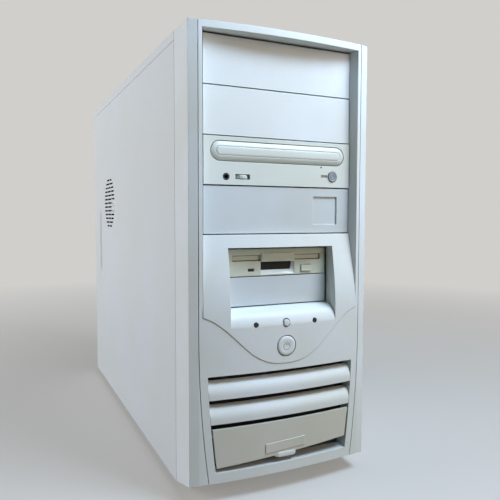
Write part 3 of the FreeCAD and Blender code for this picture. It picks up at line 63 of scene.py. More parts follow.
def at(x, y, z):
    """A point from millimetres: across, back from the rim plane, and up from the floor."""
    return Vector((x * MM, RIM + y * MM, z * MM))


def bow(x):
    """How far the bulged front stands back from its nose at a distance across, in metres."""
    return BOW_RADIUS - math.sqrt(BOW_RADIUS**2 - x**2)


print("rim plane", round(RIM / MM, 1), "nose", round(NOSE / MM, 1))

# %% [markdown]
# ## The camera
# The camera stands a little to the left of the tower and at about half its height, so two sides show.
# A lens of 40 mm on a full-frame sensor gives the mild perspective of a photo taken from close by.

# %% Camera
camera = bpy.data.objects.new("camera", bpy.data.cameras.new("camera"))
bpy.context.scene.collection.objects.link(camera)
camera.data.sensor_width = 36
camera.data.lens = 39.64
camera.location = at(-235.46, -435.79, 249.09)
camera.rotation_mode = "QUATERNION"
aim = Euler((math.radians(90 - 3.43), 0, -math.radians(24.83))).to_quaternion()
camera.rotation_quaternion = aim @ Quaternion((0, 0, 1), math.radians(0.14))
camera.data.clip_start = 0.01
bpy.context.scene.camera = camera
bpy.context.scene.view_settings.view_transform = "Standard"
print("camera at", [round(v, 3) for v in camera.location])

# %% [markdown]
# ## Colour and nodes
# Colours are written as the hex codes of a paint chart. The renderer wants linear values, so one function
# turns them. A second small function adds a node, sets what it is given and makes its links, which keeps
# each material readable as a list of steps.


# %% Helpers for materials
def linear(code):
    """A hex colour as the linear red, green, blue and alpha that a shader takes."""
    parts = [int(code[i : i + 2], 16) / 255 for i in (1, 3, 5)]
    return [p / 12.92 if p <= 0.04045 else ((p + 0.055) / 1.055) ** 2.4 for p in parts] + [1.0]


def add(tree, kind, inputs=None, **settings):
    """Adds a node, and sets or links each of its inputs."""
    node = tree.nodes.new("ShaderNode" + kind)
    for name, value in settings.items():
        setattr(node, name, value)
    for name, value in (inputs or {}).items():
        if isinstance(value, bpy.types.NodeSocket):
            tree.links.new(value, node.inputs[name])
        else:
            node.inputs[name].default_value = value
    return node


def new_finish(name):
    """An empty material with its shader, its output and the position of each point in metres."""
    made = bpy.data.materials.new(name)
    made.use_nodes = True
    tree = made.node_tree
    shader = tree.nodes["Principled BSDF"]
    place = add(tree, "TexCoord").outputs["Object"]
    return made, tree, shader, place


# %% [markdown]
# ## Moulded plastic
# The front is ABS, moulded in steel tools whose walls are spark-eroded to a fine even grain. The grain
# scatters light, so the plastic looks satin and hides fingerprints. With the years it turns a little
# yellow in patches and its edges are rubbed smoother and paler, with a painted highlight on them as well.
# Creases, joints and gaps get a painted shade in brown-grey.
# The real grain is about 0.1 mm, too fine to show here, so it is drawn at 0.7 mm and kept shallow.
# The Bevel node rounds each edge by a few tenths of a millimetre, as the tool does, and the angle between
# that rounded surface and the flat one tells where the edges are, for the wear and a painted edge highlight.


# %% The recipe for moulded plastic
def moulded(name, colour, aged, rough=0.46, grain=0.7, depth=0.02, edge=0.5, edge_wear_and_highlight="#F2F4F2", crease_shade_colour="#77766C"):
    """ABS with spark-eroded grain; grain, depth and edge are in millimetres."""
    made, tree, shader, place = new_finish(name)
    clouds = add(tree, "TexNoise", {"Vector": place, "Scale": 1 / 0.085, "Detail": 3.0})
    patch = add(tree, "MapRange", {"Value": clouds.outputs["Fac"], 1: 0.38, 2: 0.66})
    body = add(tree, "Mix", {0: patch.outputs[0], 6: linear(colour), 7: linear(aged)}, data_type="RGBA")
    speck = add(tree, "TexNoise", {"Vector": place, "Scale": 1 / (grain * MM), "Detail": 2.0})
    shade = add(tree, "MapRange", {"Value": speck.outputs["Fac"], 1: 0.3, 2: 0.7, 3: 0.965, 4: 1.02})
    grained = add(tree, "VectorMath", {0: body.outputs[2], 1: shade.outputs[0]}, operation="MULTIPLY")
    rounded = add(tree, "Bevel", {"Radius": edge * MM}, samples=4)
    flat = add(tree, "NewGeometry").outputs["Normal"]
    turn = add(tree, "VectorMath", {0: rounded.outputs[0], 1: flat}, operation="DOT_PRODUCT")
    # Edges turn towards the paler edge colour: partly real wear, partly a painted highlight on the rounding.
    rubbed_and_highlit = add(tree, "MapRange", {"Value": turn.outputs["Value"], 1: 0.99, 2: 0.86, 3: 0.0, 4: 0.4})
    worn_and_highlit = add(tree, "Mix", {0: rubbed_and_highlit.outputs[0], 6: grained.outputs[0], 7: linear(edge_wear_and_highlight)}, data_type="RGBA")
    # Painted shade: ambient occlusion darkens creases, joints and gaps towards the crease shade colour.
    corner = add(tree, "AmbientOcclusion", {"Distance": 4 * MM}, samples=4)
    painted_crease_shade = add(tree, "MapRange", {"Value": corner.outputs["AO"], 1: 0.55, 2: 0.1, 3: 0.0, 4: 0.55})
    final = add(tree, "Mix", {0: painted_crease_shade.outputs[0], 6: worn_and_highlit.outputs[2], 7: linear(crease_shade_colour)}, data_type="RGBA")
    tree.links.new(final.outputs[2], shader.inputs["Base Color"])
    gloss = add(tree, "TexNoise", {"Vector": place, "Scale": 1 / 0.012, "Detail": 4.0})
    sheen = add(
        tree, "MapRange", {"Value": gloss.outputs["Fac"], 1: 0.3, 2: 0.7, 3: rough - 0.05, 4: rough + 0.07}
    )
    tree.links.new(sheen.outputs[0], shader.inputs["Roughness"])
    bump = add(
        tree,
        "Bump",
        {"Height": speck.outputs["Fac"], "Distance": depth * MM, "Strength": 0.6, "Normal": rounded.outputs[0]},
    )
    tree.links.new(bump.outputs[0], shader.inputs["Normal"])
    shader.inputs["IOR"].default_value = 1.53
    return made


case_abs = moulded("moulded_abs_off_white", "#DFE4E5", "#D9DCD6")
cover_abs = moulded("moulded_abs_bay_cover", "#E2E8EB", "#DCE0DE")
badge_abs = moulded("moulded_abs_badge_cover", "#CBD2D5", "#C5CAC7")
flap_abs = moulded("moulded_abs_port_flap", "#D0CFC6", "#C8C6B8")
drive_abs = moulded("moulded_abs_drive_front", "#D8DED9", "#D2D6CC", rough=0.42)
aged_abs = moulded("moulded_abs_yellowed", "#CBD0C1", "#C2C4AE", rough=0.5, edge_wear_and_highlight="#DDDFD0")
# Painted highlight: the finger dish is the floppy bezel's plastic, coloured paler so it reads as lit from above.
finger_dish_highlit_abs = moulded("moulded_abs_finger_dish_painted_highlight", "#E4E8E2", "#DCE0D6", rough=0.4)
grey_abs = moulded("moulded_abs_grey_key", "#8D979D", "#848D93", rough=0.4, edge_wear_and_highlight="#B4BAC0")
black_abs = moulded("moulded_abs_black", "#1B1C1E", "#222325", rough=0.4, edge_wear_and_highlight="#3A3B3D", crease_shade_colour="#4A4943")
print("seven moulded plastics")

# %% [markdown]
# ## Powder-coated steel
# The side panels and the top cover are thin steel with an off-white powder coat. Powder melts into a
# skin with a faint orange peel, waves about 2 mm apart, and it is a bit glossier than the plastic. Large
# thin panels are never quite flat, so a second, much wider bump bends the reflections gently.


# %% The recipe for powder coat
def powder_coat(name, colour, aged):
    made, tree, shader, place = new_finish(name)
    clouds = add(tree, "TexNoise", {"Vector": place, "Scale": 1 / 0.16, "Detail": 2.0})
    patch = add(tree, "MapRange", {"Value": clouds.outputs["Fac"], 1: 0.35, 2: 0.68})
    body = add(tree, "Mix", {0: patch.outputs[0], 6: linear(colour), 7: linear(aged)}, data_type="RGBA")
    peel = add(tree, "TexNoise", {"Vector": place, "Scale": 1 / 0.002, "Detail": 1.0})
    shade = add(tree, "MapRange", {"Value": peel.outputs["Fac"], 1: 0.3, 2: 0.7, 3: 0.985, 4: 1.01})
    coated = add(tree, "VectorMath", {0: body.outputs[2], 1: shade.outputs[0]}, operation="MULTIPLY")
    rounded = add(tree, "Bevel", {"Radius": 0.6 * MM}, samples=4)
    flat = add(tree, "NewGeometry").outputs["Normal"]
    turn = add(tree, "VectorMath", {0: rounded.outputs[0], 1: flat}, operation="DOT_PRODUCT")
    chips = add(tree, "TexNoise", {"Vector": place, "Scale": 1 / 0.006, "Detail": 5.0})
    edge = add(tree, "MapRange", {"Value": turn.outputs["Value"], 1: 0.97, 2: 0.8, 3: 0.0, 4: 1.0})
    bare = add(tree, "MapRange", {"Value": chips.outputs["Fac"], 1: 0.6, 2: 0.68})
    chipped = add(tree, "Math", {0: edge.outputs[0], 1: bare.outputs[0]}, operation="MULTIPLY")
    final = add(
        tree, "Mix", {0: chipped.outputs[0], 6: coated.outputs[0], 7: linear("#8B8F90")}, data_type="RGBA"
    )
    tree.links.new(final.outputs[2], shader.inputs["Base Color"])
    sheen = add(tree, "MapRange", {"Value": clouds.outputs["Fac"], 1: 0.3, 2: 0.7, 3: 0.36, 4: 0.44})
    tree.links.new(sheen.outputs[0], shader.inputs["Roughness"])
    wide = add(tree, "TexNoise", {"Vector": place, "Scale": 1 / 0.13, "Detail": 1.0})
    bent = add(
        tree, "Bump", {"Height": wide.outputs["Fac"], "Distance": 2.2 * MM, "Strength": 0.5,
                       "Normal": rounded.outputs[0]}
    )
    bump = add(
        tree, "Bump", {"Height": peel.outputs["Fac"], "Distance": 0.02 * MM, "Strength": 0.5,
                       "Normal": bent.outputs[0]}
    )
    tree.links.new(bump.outputs[0], shader.inputs["Normal"])
    shader.inputs["IOR"].default_value = 1.5
    return made


panel_paint = powder_coat("powder_coat_off_white", "#D9DEE0", "#D6D9D5")
print("powder coat")

# %% [markdown]
# ## Bare metals
# The frame is galvanised sheet: zinc freezes on the steel in flat crystals 5 to 10 mm wide, each with its
# own brightness. A Voronoi pattern has the same look. Small fittings are nickel-plated and even, and the
# cast aluminium of the hard drive is dull and grainy.


# %% The recipes for metals
def metal(name, colour, crystal, spread, rough, scratch=0.4):
    """A metal whose crystals are that many millimetres wide and vary by a spread in brightness."""
    made, tree, shader, place = new_finish(name)
    cells = add(tree, "TexVoronoi", {"Vector": place, "Scale": 1 / (crystal * MM)})
    tone = add(tree, "RGBToBW", {0: cells.outputs["Color"]})
    shade = add(tree, "MapRange", {"Value": tone.outputs[0], 3: 1 - spread, 4: 1 + spread * 0.4})
    body = add(tree, "VectorMath", {0: linear(colour)[:3], 1: shade.outputs[0]}, operation="MULTIPLY")
    tree.links.new(body.outputs[0], shader.inputs["Base Color"])
    fine = add(tree, "TexNoise", {"Vector": place, "Scale": 1 / 0.0012, "Detail": 4.0})
    sheen = add(tree, "MapRange", {"Value": fine.outputs["Fac"], 1: 0.3, 2: 0.7, 3: rough - 0.06, 4: rough + 0.1})
    tree.links.new(sheen.outputs[0], shader.inputs["Roughness"])
    rounded = add(tree, "Bevel", {"Radius": 0.25 * MM}, samples=4)
    bump = add(
        tree, "Bump", {"Height": fine.outputs["Fac"], "Distance": 0.01 * MM, "Strength": scratch,
                       "Normal": rounded.outputs[0]}
    )
    tree.links.new(bump.outputs[0], shader.inputs["Normal"])
    shader.inputs["Metallic"].default_value = 1.0
    return made


zinc_sheet = metal("galvanised_steel_sheet", "#B4B7B8", 7.0, 0.22, 0.38)
nickel = metal("nickel_plated_steel", "#C9CACB", 1.5, 0.05, 0.22)
cast_alloy = metal("cast_aluminium", "#A5A8AA", 0.9, 0.12, 0.45)
gold = metal("gold_plated_contact", "#D9B35A", 0.8, 0.05, 0.25)
print("four metals")

# %% [markdown]
# ## Lamps, rubber, laminate
# The status lamps are smoked plastic and almost black when the computer is off. The feet are black
# rubber with a dull, dusty skin. The circuit boards are green laminate: a glossy solder mask over fine
# copper tracks, which here is a brick pattern of thin lines 1.3 mm apart.


# %% The recipes for the rest
def smooth(name, colour, second, scale, rough, ior=1.5, coat=0.0):
    """A plain glossy or dull plastic with a faint two-colour mottle, scale in millimetres."""
    made, tree, shader, place = new_finish(name)
    clouds = add(tree, "TexNoise", {"Vector": place, "Scale": 1 / (scale * MM), "Detail": 4.0})
    body = add(tree, "Mix", {0: clouds.outputs["Fac"], 6: linear(colour), 7: linear(second)}, data_type="RGBA")
    tree.links.new(body.outputs[2], shader.inputs["Base Color"])
    sheen = add(tree, "MapRange", {"Value": clouds.outputs["Fac"], 1: 0.3, 2: 0.7, 3: rough, 4: rough + 0.1})
    tree.links.new(sheen.outputs[0], shader.inputs["Roughness"])
    bump = add(tree, "Bump", {"Height": clouds.outputs["Fac"], "Distance": 0.02 * MM, "Strength": 0.5})
    tree.links.new(bump.outputs[0], shader.inputs["Normal"])
    shader.inputs["IOR"].default_value = ior
    shader.inputs["Coat Weight"].default_value = coat
    return made


lamp_smoke = smooth("smoked_acrylic_lamp", "#0A0B0C", "#151517", 3.0, 0.12, ior=1.49, coat=0.5)
foot_rubber = smooth("black_rubber", "#1A1A1A", "#2C2B29", 2.0, 0.7)
slider_red = smooth("red_nylon", "#A81E16", "#8E1812", 2.0, 0.4)
print_grey = smooth("pad_printed_ink", "#9DA3A5", "#8F9698", 1.0, 0.5)
# A flat black used only for the sheets of painted shade behind the slats and the floppy slot.
shade_sheet_black = smooth("painted_shade_black", "#050505", "#0A0A0A", 2.0, 0.8)
port_colours = {
    "green": smooth("green_connector", "#4E9A5A", "#458C50", 2.0, 0.4),
    "violet": smooth("violet_connector", "#6A5596", "#5F4B88", 2.0, 0.4),
    "blue": smooth("blue_connector", "#2F62A8", "#28569A", 2.0, 0.4),
    "burgundy": smooth("burgundy_connector", "#8E3A55", "#80324B", 2.0, 0.4),
    "teal": smooth("teal_connector", "#3E8C88", "#357E7A", 2.0, 0.4),
    "lime": smooth("lime_connector", "#7FBF5B", "#74B052", 2.0, 0.4),
    "pink": smooth("pink_connector", "#E08AA0", "#D47E94", 2.0, 0.4),
    "sky": smooth("sky_connector", "#5AA6D6", "#5098C6", 2.0, 0.4),
}

laminate, tree, shader, place = new_finish("green_circuit_laminate")
tracks = add(
    tree, "TexBrick", {"Vector": place, "Scale": 1 / 0.0026, "Mortar Size": 0.06, "Color1": linear("#1F5B34"),
                       "Color2": linear("#256A3D"), "Mortar": linear("#3B8A55")}
)
tree.links.new(tracks.outputs["Color"], shader.inputs["Base Color"])
shader.inputs["Roughness"].default_value = 0.35
shader.inputs["Coat Weight"].default_value = 0.4
print("lamps, rubber, laminate and coloured connectors")

# %% [markdown]
# ## Finishes on the CAD pieces
# Most CAD pieces already have the right shape and only need their finish. The record names a material
# slot for each, and here each group of pieces gets the finish that its slot stands for.

# %% Give each CAD piece its finish
FINISHES = [
    (case_abs, "bezel_post_left bezel_post_right front_moulding control_panel front_louvres port_door "
               "power_button reset_button"),
    (panel_paint, "left_side_panel right_side_panel top_cover"),
    (nickel, "left_panel_thumbscrews right_panel_thumbscrews optical_spindle_motor front_sockets fan_guards "
             "rear_connectors"),
    (zinc_sheet, "chassis_base_pan chassis_front_frame chassis_rear_panel motherboard_tray drive_bay_cage "
                 "small_drive_cage optical_drive_case floppy_drive_case power_supply_case "
                 "expansion_slot_covers rear_connector_shield"),
    (cover_abs, "plain_bay_covers"),
    (badge_abs, "badge_bay_cover small_bay_cover"),
    (aged_abs, "floppy_drive_bezel floppy_eject_button floppy_slot_flap"),
    (drive_abs, "optical_drive_bezel optical_tray_door volume_wheel"),
    (grey_abs, "optical_eject_button"),
    (lamp_smoke, "drive_busy_leds front_leds"),
    (black_abs, "optical_tray headphone_jack front_port_plate psu_fan_frame psu_fan_rotor case_fan_frame "
                "case_fan_rotor mains_inlet mains_switch_frames mains_rocker board_sockets"),
    (foot_rubber, "rubber_feet"),
    (laminate, "front_switch_board front_port_board motherboard memory_modules graphics_card"),
    (cast_alloy, "hard_drive processor_heatsink"),
    (slider_red, "voltage_selector"),
]
for finish, names in FINISHES:
    for name in names.split():
        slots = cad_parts[name].data.materials
        slots.clear()
        slots.append(finish)
finished = {name for _, names in FINISHES for name in names.split()}
print("finishes on", len(finished), "of", len(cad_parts), "nodes; left:", set(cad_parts) - finished)

# %% [markdown]
# ## Outlines and lofts
# Knobs, buttons and screw heads are all an outline that shrinks or grows as it goes forward. So one
# function draws rounded outlines, and one joins a stack of such rings into a closed skin. Every ring has
# the same number of points, which makes clean strips of four-sided faces.


# %% Helpers for meshes
def outline(half_x, half_z, radius, steps=8):
    """Points round a rounded rectangle, as pairs; a radius equal to a half size gives a round end."""
    radius = min(radius, half_x, half_z)
    points = []
    for corner, (sx, sz) in enumerate(((1, 1), (-1, 1), (-1, -1), (1, -1))):
        for k in range(steps + 1):
            turn = math.pi / 2 * (corner + k / steps)
            points.append(
                (sx * (half_x - radius) + radius * math.cos(turn), sz * (half_z - radius) + radius * math.sin(turn))
            )
    return points


def finish_mesh(name, mesh, body, material, angle=35):
    """Turns a bmesh into a named piece that rides on a body, shaded smooth except at sharp edges."""
    bmesh.ops.remove_doubles(mesh, verts=mesh.verts, dist=1e-6)
    bmesh.ops.recalc_face_normals(mesh, faces=mesh.faces)
    for edge in mesh.edges:
        if len(edge.link_faces) == 2 and edge.calc_face_angle(0) > math.radians(angle):
            edge.smooth = False
    for face in mesh.faces:
        face.smooth = True
    data = bpy.data.meshes.new(name)
    mesh.to_mesh(data)
    mesh.free()
    data.materials.append(material)
    piece = bpy.data.objects.new(name, data)
    bpy.context.scene.collection.objects.link(piece)
    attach(piece, body)
    return piece


def loft(mesh, rings, caps=(True, True)):
    """Joins rings of equal length into a skin inside a bmesh, with a cap on either end."""
    rows = [[mesh.verts.new(p) for p in ring] for ring in rings]
    count = len(rows[0])
    for a, b in zip(rows, rows[1:]):
        for k in range(count):
            mesh.faces.new((a[k], a[(k + 1) % count], b[(k + 1) % count], b[k]))
    if caps[0]:
        mesh.faces.new(rows[0])
    if caps[1]:
        mesh.faces.new(rows[-1][::-1])
    return rows


def front_rings(centre, half_x, half_z, radius, profile, steps=8):
    """Rings that face forward: each profile step is (inset, depth) in mm from the outline and centre."""
    rings = []
    for inset, depth in profile:
        ring = outline(half_x - inset, half_z - inset, max(radius - inset, 0.05), steps)
        rings.append([centre + Vector((x, depth, z)) * MM for x, z in ring])
    return rings


print("mesh helpers ready")

# %% [markdown]
# ## The disc tray's door
# The door is a long pillow: a flat centre inside a band that slopes away all round, with a fine step
# between them. Light from above makes the upper band pale and the lower band dark, which is what shows
# its shape. It replaces the plain CAD door and rides on the tray.

# %% Disc tray door
low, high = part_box("optical_tray_door")
middle = Vector(((low.x + high.x) / 2, low.y, (low.z + high.z) / 2))
half_x, half_z = (high.x - low.x) / 2 / MM, (high.z - low.z) / 2 / MM
mesh = bmesh.new()
band = [(0.0, (high.y - low.y) / MM), (0.0, 1.1), (0.25, 0.62), (0.8, 0.2), (1.8, -0.35), (3.0, -0.85),
        (4.1, -1.15), (4.35, -1.18), (4.42, -0.9), (4.75, -0.9), (4.85, -1.2), (5.4, -1.42), (6.6, -1.5)]
loft(mesh, front_rings(middle, half_x, half_z, half_z, band, 12))
tray_door = finish_mesh("disc_tray_door", mesh, "disc_tray", drive_abs)
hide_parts("optical_tray_door")
print("tray door", round(half_x * 2, 1), "x", round(half_z * 2, 1), "mm")

# %% [markdown]
# ## Thin plates and fine lines
# A moulded front is a plate with openings, so a flat curve with inner outlines suits it: the curve fills
# itself, gets a thickness, and its bevel rounds every rim by the same small radius as a moulding tool.
# Printed or raised signs are open curves with a thin round section, pressed flat against the surface.


# %% Helpers for plates and lines
def solid_from(curve, name, body, material):
    """Turns a curve object into a mesh piece with the shape as it is drawn."""
    bpy.context.view_layer.update()
    drawn = curve.evaluated_get(bpy.context.evaluated_depsgraph_get())
    data = bpy.data.meshes.new_from_object(drawn)
    data.transform(curve.matrix_world)
    shape = bmesh.new()
    shape.from_mesh(data)
    bpy.data.objects.remove(curve)
    piece = finish_mesh(name, shape, body, material)
    return piece


def pierced(name, body, material, front, thick, holes, rim=0.4):
    """A plate whose first outline is its edge and whose others are holes: (x, z, half_x, half_z, radius)."""
    curve = bpy.data.curves.new(name, "CURVE")
    curve.dimensions = "2D"
    curve.fill_mode = "BOTH"
    curve.extrude = (thick / 2 - rim) * MM
    curve.bevel_depth = rim * MM
    curve.bevel_resolution = 2
    curve.offset = -rim * MM
    for x, z, half_x, half_z, radius in holes:
        points = outline(half_x, half_z, radius)
        spline = curve.splines.new("POLY")
        spline.points.add(len(points) - 1)
        for point, (dx, dz) in zip(spline.points, points):
            point.co = ((x + dx) * MM, (z + dz) * MM, 0, 1)
        spline.use_cyclic_u = True
    made = bpy.data.objects.new(name + "_curve", curve)
    bpy.context.scene.collection.objects.link(made)
    made.rotation_euler = (math.pi / 2, 0, 0)
    made.location = at(0, front + thick / 2, 0)
    return solid_from(made, name, body, material)


def stroke(name, body, material, lines, width):
    """Fine raised lines through points in the frame, a few hundredths of a millimetre proud."""
    curve = bpy.data.curves.new(name, "CURVE")
    curve.dimensions = "3D"
    curve.bevel_depth = width / 2 * MM
    curve.bevel_resolution = 1
    curve.use_fill_caps = True
    for points in lines:
        spline = curve.splines.new("POLY")
        spline.points.add(len(points) - 1)
        for point, place in zip(spline.points, points):
            point.co = (*place, 1)
    made = bpy.data.objects.new(name + "_curve", curve)
    bpy.context.scene.collection.objects.link(made)
    return solid_from(made, name, body, material)


def arc(centre, radius, start, end, steps=20):
    """Points on an upright circle that faces forward, angles in degrees from the right."""
    turns = [math.radians(start + (end - start) * k / steps) for k in range(steps + 1)]
    return [centre + Vector((radius * math.cos(t), 0, radius * math.sin(t))) * MM for t in turns]


print("plates and lines ready")

# %% [markdown]
# ## The disc drive's small controls
# The eject key is a grey disc with a raised ring, in a ring-shaped gap. The volume wheel stands on edge
# behind a slot, and its rim has fine ridges for the fingertip. The ridges are an outline whose radius
# steps in and out, which is cheaper than cutting grooves.

# %% Eject key and volume wheel
low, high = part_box("optical_eject_button")
middle = Vector(((low.x + high.x) / 2, low.y, (low.z + high.z) / 2))
half = (high.x - low.x) / 2 / MM - 0.25
mesh = bmesh.new()
key = [(0.0, 6.0), (0.0, 0.5), (0.3, 0.1), (0.9, 0.0), (1.1, 0.25), (2.1, 0.3), (2.25, 0.05), (2.6, 0.0),
       (2.75, 0.3), (3.6, 0.35)]
loft(mesh, front_rings(middle, half, half, half, key, 12))
eject_key = finish_mesh("disc_eject_key", mesh, "optical_eject", grey_abs)
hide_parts("optical_eject_button")

low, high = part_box("volume_wheel")
middle = (low + high) / 2
radius, thick = (high.x - low.x) / 2, high.z - low.z
mesh = bmesh.new()
rings = []
for share, drop in ((-0.5, 0.94), (-0.38, 1.0), (0.38, 1.0), (0.5, 0.94)):
    ring = []
    for k in range(120):
        turn = 2 * math.pi * k / 120
        reach = radius * drop * (0.95 if k % 4 == 0 else 1.0)
        ring.append(middle + Vector((reach * math.cos(turn), reach * math.sin(turn), share * thick)))
    rings.append(ring)
loft(mesh, rings)
wheel = finish_mesh("ridged_volume_wheel", mesh, "volume_dial", drive_abs, 25)
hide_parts("volume_wheel")
print("eject key and wheel")

# %% [markdown]
# ## The floppy drive's front
# The slot for the disk crosses the whole drive, and a spring flap closes it from inside. In the middle a
# proud block carries the eye to the finger dish, a scoop that lets the disk be gripped. The scoop is a
# curved ramp: deep under the block and level with the front at its foot, so it catches light from above.

# %% Floppy front
FACE = 12.5
front = pierced("floppy_front_plate", "case", aged_abs, FACE, 3.2, [
    (0, 208.0, 50.8, 12.2, 0.8), (0, 212.0, 45.5, 2.6, 0.5), (0, 202.9, 17.3, 6.0, 0.6),
    (29.8, 201.3, 5.8, 3.3, 0.5), (-27, 201.2, 3.0, 1.2, 0.3)], 0.35)
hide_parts("floppy_drive_bezel")

mesh = bmesh.new()
ramp = [(12.7, 196.7), (13.9, 198.0), (15.3, 200.2), (16.4, 203.2), (17.0, 206.4), (17.1, 209.0)]
columns = [(-17.4, None), (-16.7, 0.0), (-8.0, 0.0), (4.0, 0.0), (14.2, 0.0), (17.4, None)]
grid = []
for x, level in columns:
    grid.append([mesh.verts.new(at(x, FACE + 0.5 if level is None else y, z)) for y, z in ramp])
for left, right in zip(grid, grid[1:]):
    for k in range(len(ramp) - 1):
        mesh.faces.new((left[k], right[k], right[k + 1], left[k + 1]))
dish = finish_mesh("floppy_finger_dish", mesh, "case", finger_dish_highlit_abs, 50)

mesh = bmesh.new()
block = [(0.0, 3.4), (0.0, 0.5), (0.25, 0.12), (0.6, 0.0), (3.0, 0.0)]
loft(mesh, front_rings(at(0, FACE - 1.5, 212.3), 17.3, 3.8, 0.6, block, 4))
centre_block = finish_mesh("floppy_centre_block", mesh, "case", aged_abs)

mesh = bmesh.new()
blade = [(0.0, 0.9), (0.0, 0.25), (0.25, 0.0), (1.2, 0.0)]
loft(mesh, front_rings(at(0, FACE + 1.5, 212.1), 45.0, 2.1, 0.5, blade, 4))
flap = finish_mesh("floppy_spring_flap", mesh, "floppy_flap", aged_abs)
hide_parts("floppy_slot_flap")

low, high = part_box("floppy_eject_button")
middle = Vector(((low.x + high.x) / 2, low.y, (low.z + high.z) / 2))
mesh = bmesh.new()
key = [(0.0, 8.0), (0.0, 0.6), (0.2, 0.15), (0.6, 0.0), (1.2, 0.1), (2.4, 0.25)]
loft(mesh, front_rings(middle, 5.4, 2.9, 0.7, key, 4))
floppy_key = finish_mesh("floppy_eject_key", mesh, "floppy_eject", aged_abs)
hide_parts("floppy_eject_button")
print("floppy front with", len(ramp), "ramp rows")

# %% [markdown]
# ## The buttons and their signs
# Both buttons are moulded domes. A slight hollow in the middle guides the finger, and the gap around
# each one reads as a dark ring. The signs are raised by a hair and printed grey: a broken ring with a
# bar for power, and a turning arrow for reset.

# %% Power and reset buttons
low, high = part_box("power_button")
power_at = Vector(((low.x + high.x) / 2, low.y, (low.z + high.z) / 2))
half = (high.x - low.x) / 2 / MM - 0.3
mesh = bmesh.new()
dome = [(0.0, 10.0), (0.0, 1.6), (0.15, 1.0), (0.6, 0.5), (1.4, 0.2), (2.6, 0.05), (3.6, 0.05), (5.0, 0.25),
        (7.0, 0.4)]
loft(mesh, front_rings(power_at, half, half, half, dome, 14))
power = finish_mesh("power_key_dome", mesh, "power_key", case_abs, 60)
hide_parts("power_button")
sign = power_at + Vector((0, 0.34, -0.3)) * MM
stroke("power_sign", "power_key", print_grey,
       [arc(sign, 3.2, 118, 422, 26), [sign + Vector((0, 0, 1.0)) * MM, sign + Vector((0, 0, 4.3)) * MM]], 0.55)

low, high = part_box("reset_button")
reset_at = Vector(((low.x + high.x) / 2, low.y, (low.z + high.z) / 2))
half = (high.x - low.x) / 2 / MM - 0.25
mesh = bmesh.new()
dome = [(0.0, 6.0), (0.0, 0.8), (0.2, 0.35), (0.7, 0.1), (1.5, 0.0), (2.4, 0.05)]
loft(mesh, front_rings(reset_at, half, half, half, dome, 10))
reset = finish_mesh("reset_key_dome", mesh, "reset_key", case_abs, 60)
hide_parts("reset_button")
sign = reset_at + Vector((0, 0.22, 0)) * MM
tip = sign + Vector((1.1, 0, 0.9)) * MM
stroke("reset_sign", "reset_key", print_grey,
       [arc(sign, 1.25, 60, 340, 16), [tip + Vector((-0.9, 0, 0.6)) * MM, tip, tip + Vector((0.1, 0, 1.0)) * MM]],
       0.3)
print("power key", round(half, 2), "mm reset radius")

# %% [markdown]
# ## The port flap that hangs askew
# The flap over the front sockets has aged clips, so it hangs a little higher on one side. Its shape is
# a copy of the CAD flap, sheared: each point rises with its distance from the left end, and more so at the
# foot than at the hinge. A copy keeps the CAD piece itself untouched, and the hinge still turns it.

# %% Port flap
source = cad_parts["port_door"]
data = source.data.copy()
data.name = "port_flap_askew"
place_of = source.matrix_world.copy()
low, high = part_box("port_door")
for vertex in data.vertices:
    point = place_of @ vertex.co
    share = (high.z - point.z) / (high.z - low.z)
    slope = math.tan(math.radians(1.3 + 2.3 * share))
    vertex.co = point + Vector((0, 0, max(point.x - low.x, 0) * slope * min(max(share * 4, 0.15), 1)))
askew = bpy.data.objects.new("port_flap_askew", data)
bpy.context.scene.collection.objects.link(askew)
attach(askew, "port_flap")
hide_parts("port_door")
data.materials.clear()
data.materials.append(flap_abs)
mesh = bmesh.new()
lip = [(0.0, 3.0), (0.0, 0.7), (0.3, 0.2), (0.9, 0.0), (2.0, 0.0)]
loft(mesh, front_rings(Vector((0.001, low.y + 0.1 * MM, low.z + 5.6 * MM)), 9.5, 2.6, 2.6, lip, 8))
grip = finish_mesh("port_flap_grip", mesh, "port_flap", cover_abs, 50)
print("flap sheared by", round((high.x - low.x) / MM * math.tan(math.radians(3.6)), 1), "mm at its far corner")

# %% [markdown]
# ## A black sheet of painted shade behind the slats
# A thin black sheet stands behind the slats as painted shade, so the slots between them look black from
# the front. It is a plain sheet with rounded corners, seen only in the gaps.

# %% Painted shade sheets behind the slats and behind the floppy slot
# Painted shade: a black sheet behind the slats, so the gaps between them read dark.
pierced("slat_gap_shade_sheet", "case", shade_sheet_black, 10.5, 1.6, [(0, 90.0, 71.0, 22.5, 2.0)], 0.3)
# Painted shade: a black sheet behind the floppy slot, so the slot reads dark.
pierced("floppy_slot_shade", "case", shade_sheet_black, FACE + 3.0, 0.6, [(0, 208.0, 49.0, 8.5, 1.0)], 0.1)

# %% [markdown]
# ## The soft pulls in the side panels
# Each side panel is drawn in a press to make a pull for the fingers. Sheet steel can't make a sharp
# pocket: it flows into a shallow scoop with sloped ends. A grid of points that sink smoothly towards the
# middle gives that scoop, so light fades over it instead of breaking at an edge.

# %% Panel pulls
for side, body in ((-1, "left_panel"), (1, "right_panel")):
    mesh = bmesh.new()
    rows, columns = 56, 14
    grid = []
    for i in range(rows + 1):
        v = i / rows * 2 - 1
        ends = min(1.0, (1 + v) / 0.5) * min(1.0, (1 - v) / 0.3)
        long_part = ends * ends * (3 - 2 * ends)
        line = []
        for j in range(columns + 1):
            u = j / columns * 2 - 1
            sunk = 4.8 * long_part * (1 - u * u) ** 1.5
            line.append(mesh.verts.new(at(side * (89.45 - sunk), 418 + u * 7.7, 206 + v * 56.2)))
        grid.append(line)
    for a, b in zip(grid, grid[1:]):
        for j in range(columns):
            mesh.faces.new((a[j], a[j + 1], b[j + 1], b[j]))
    pull = finish_mesh(f"{body}_pull_scoop", mesh, body, panel_paint, 80)
print("two pulls of", rows, "rows")
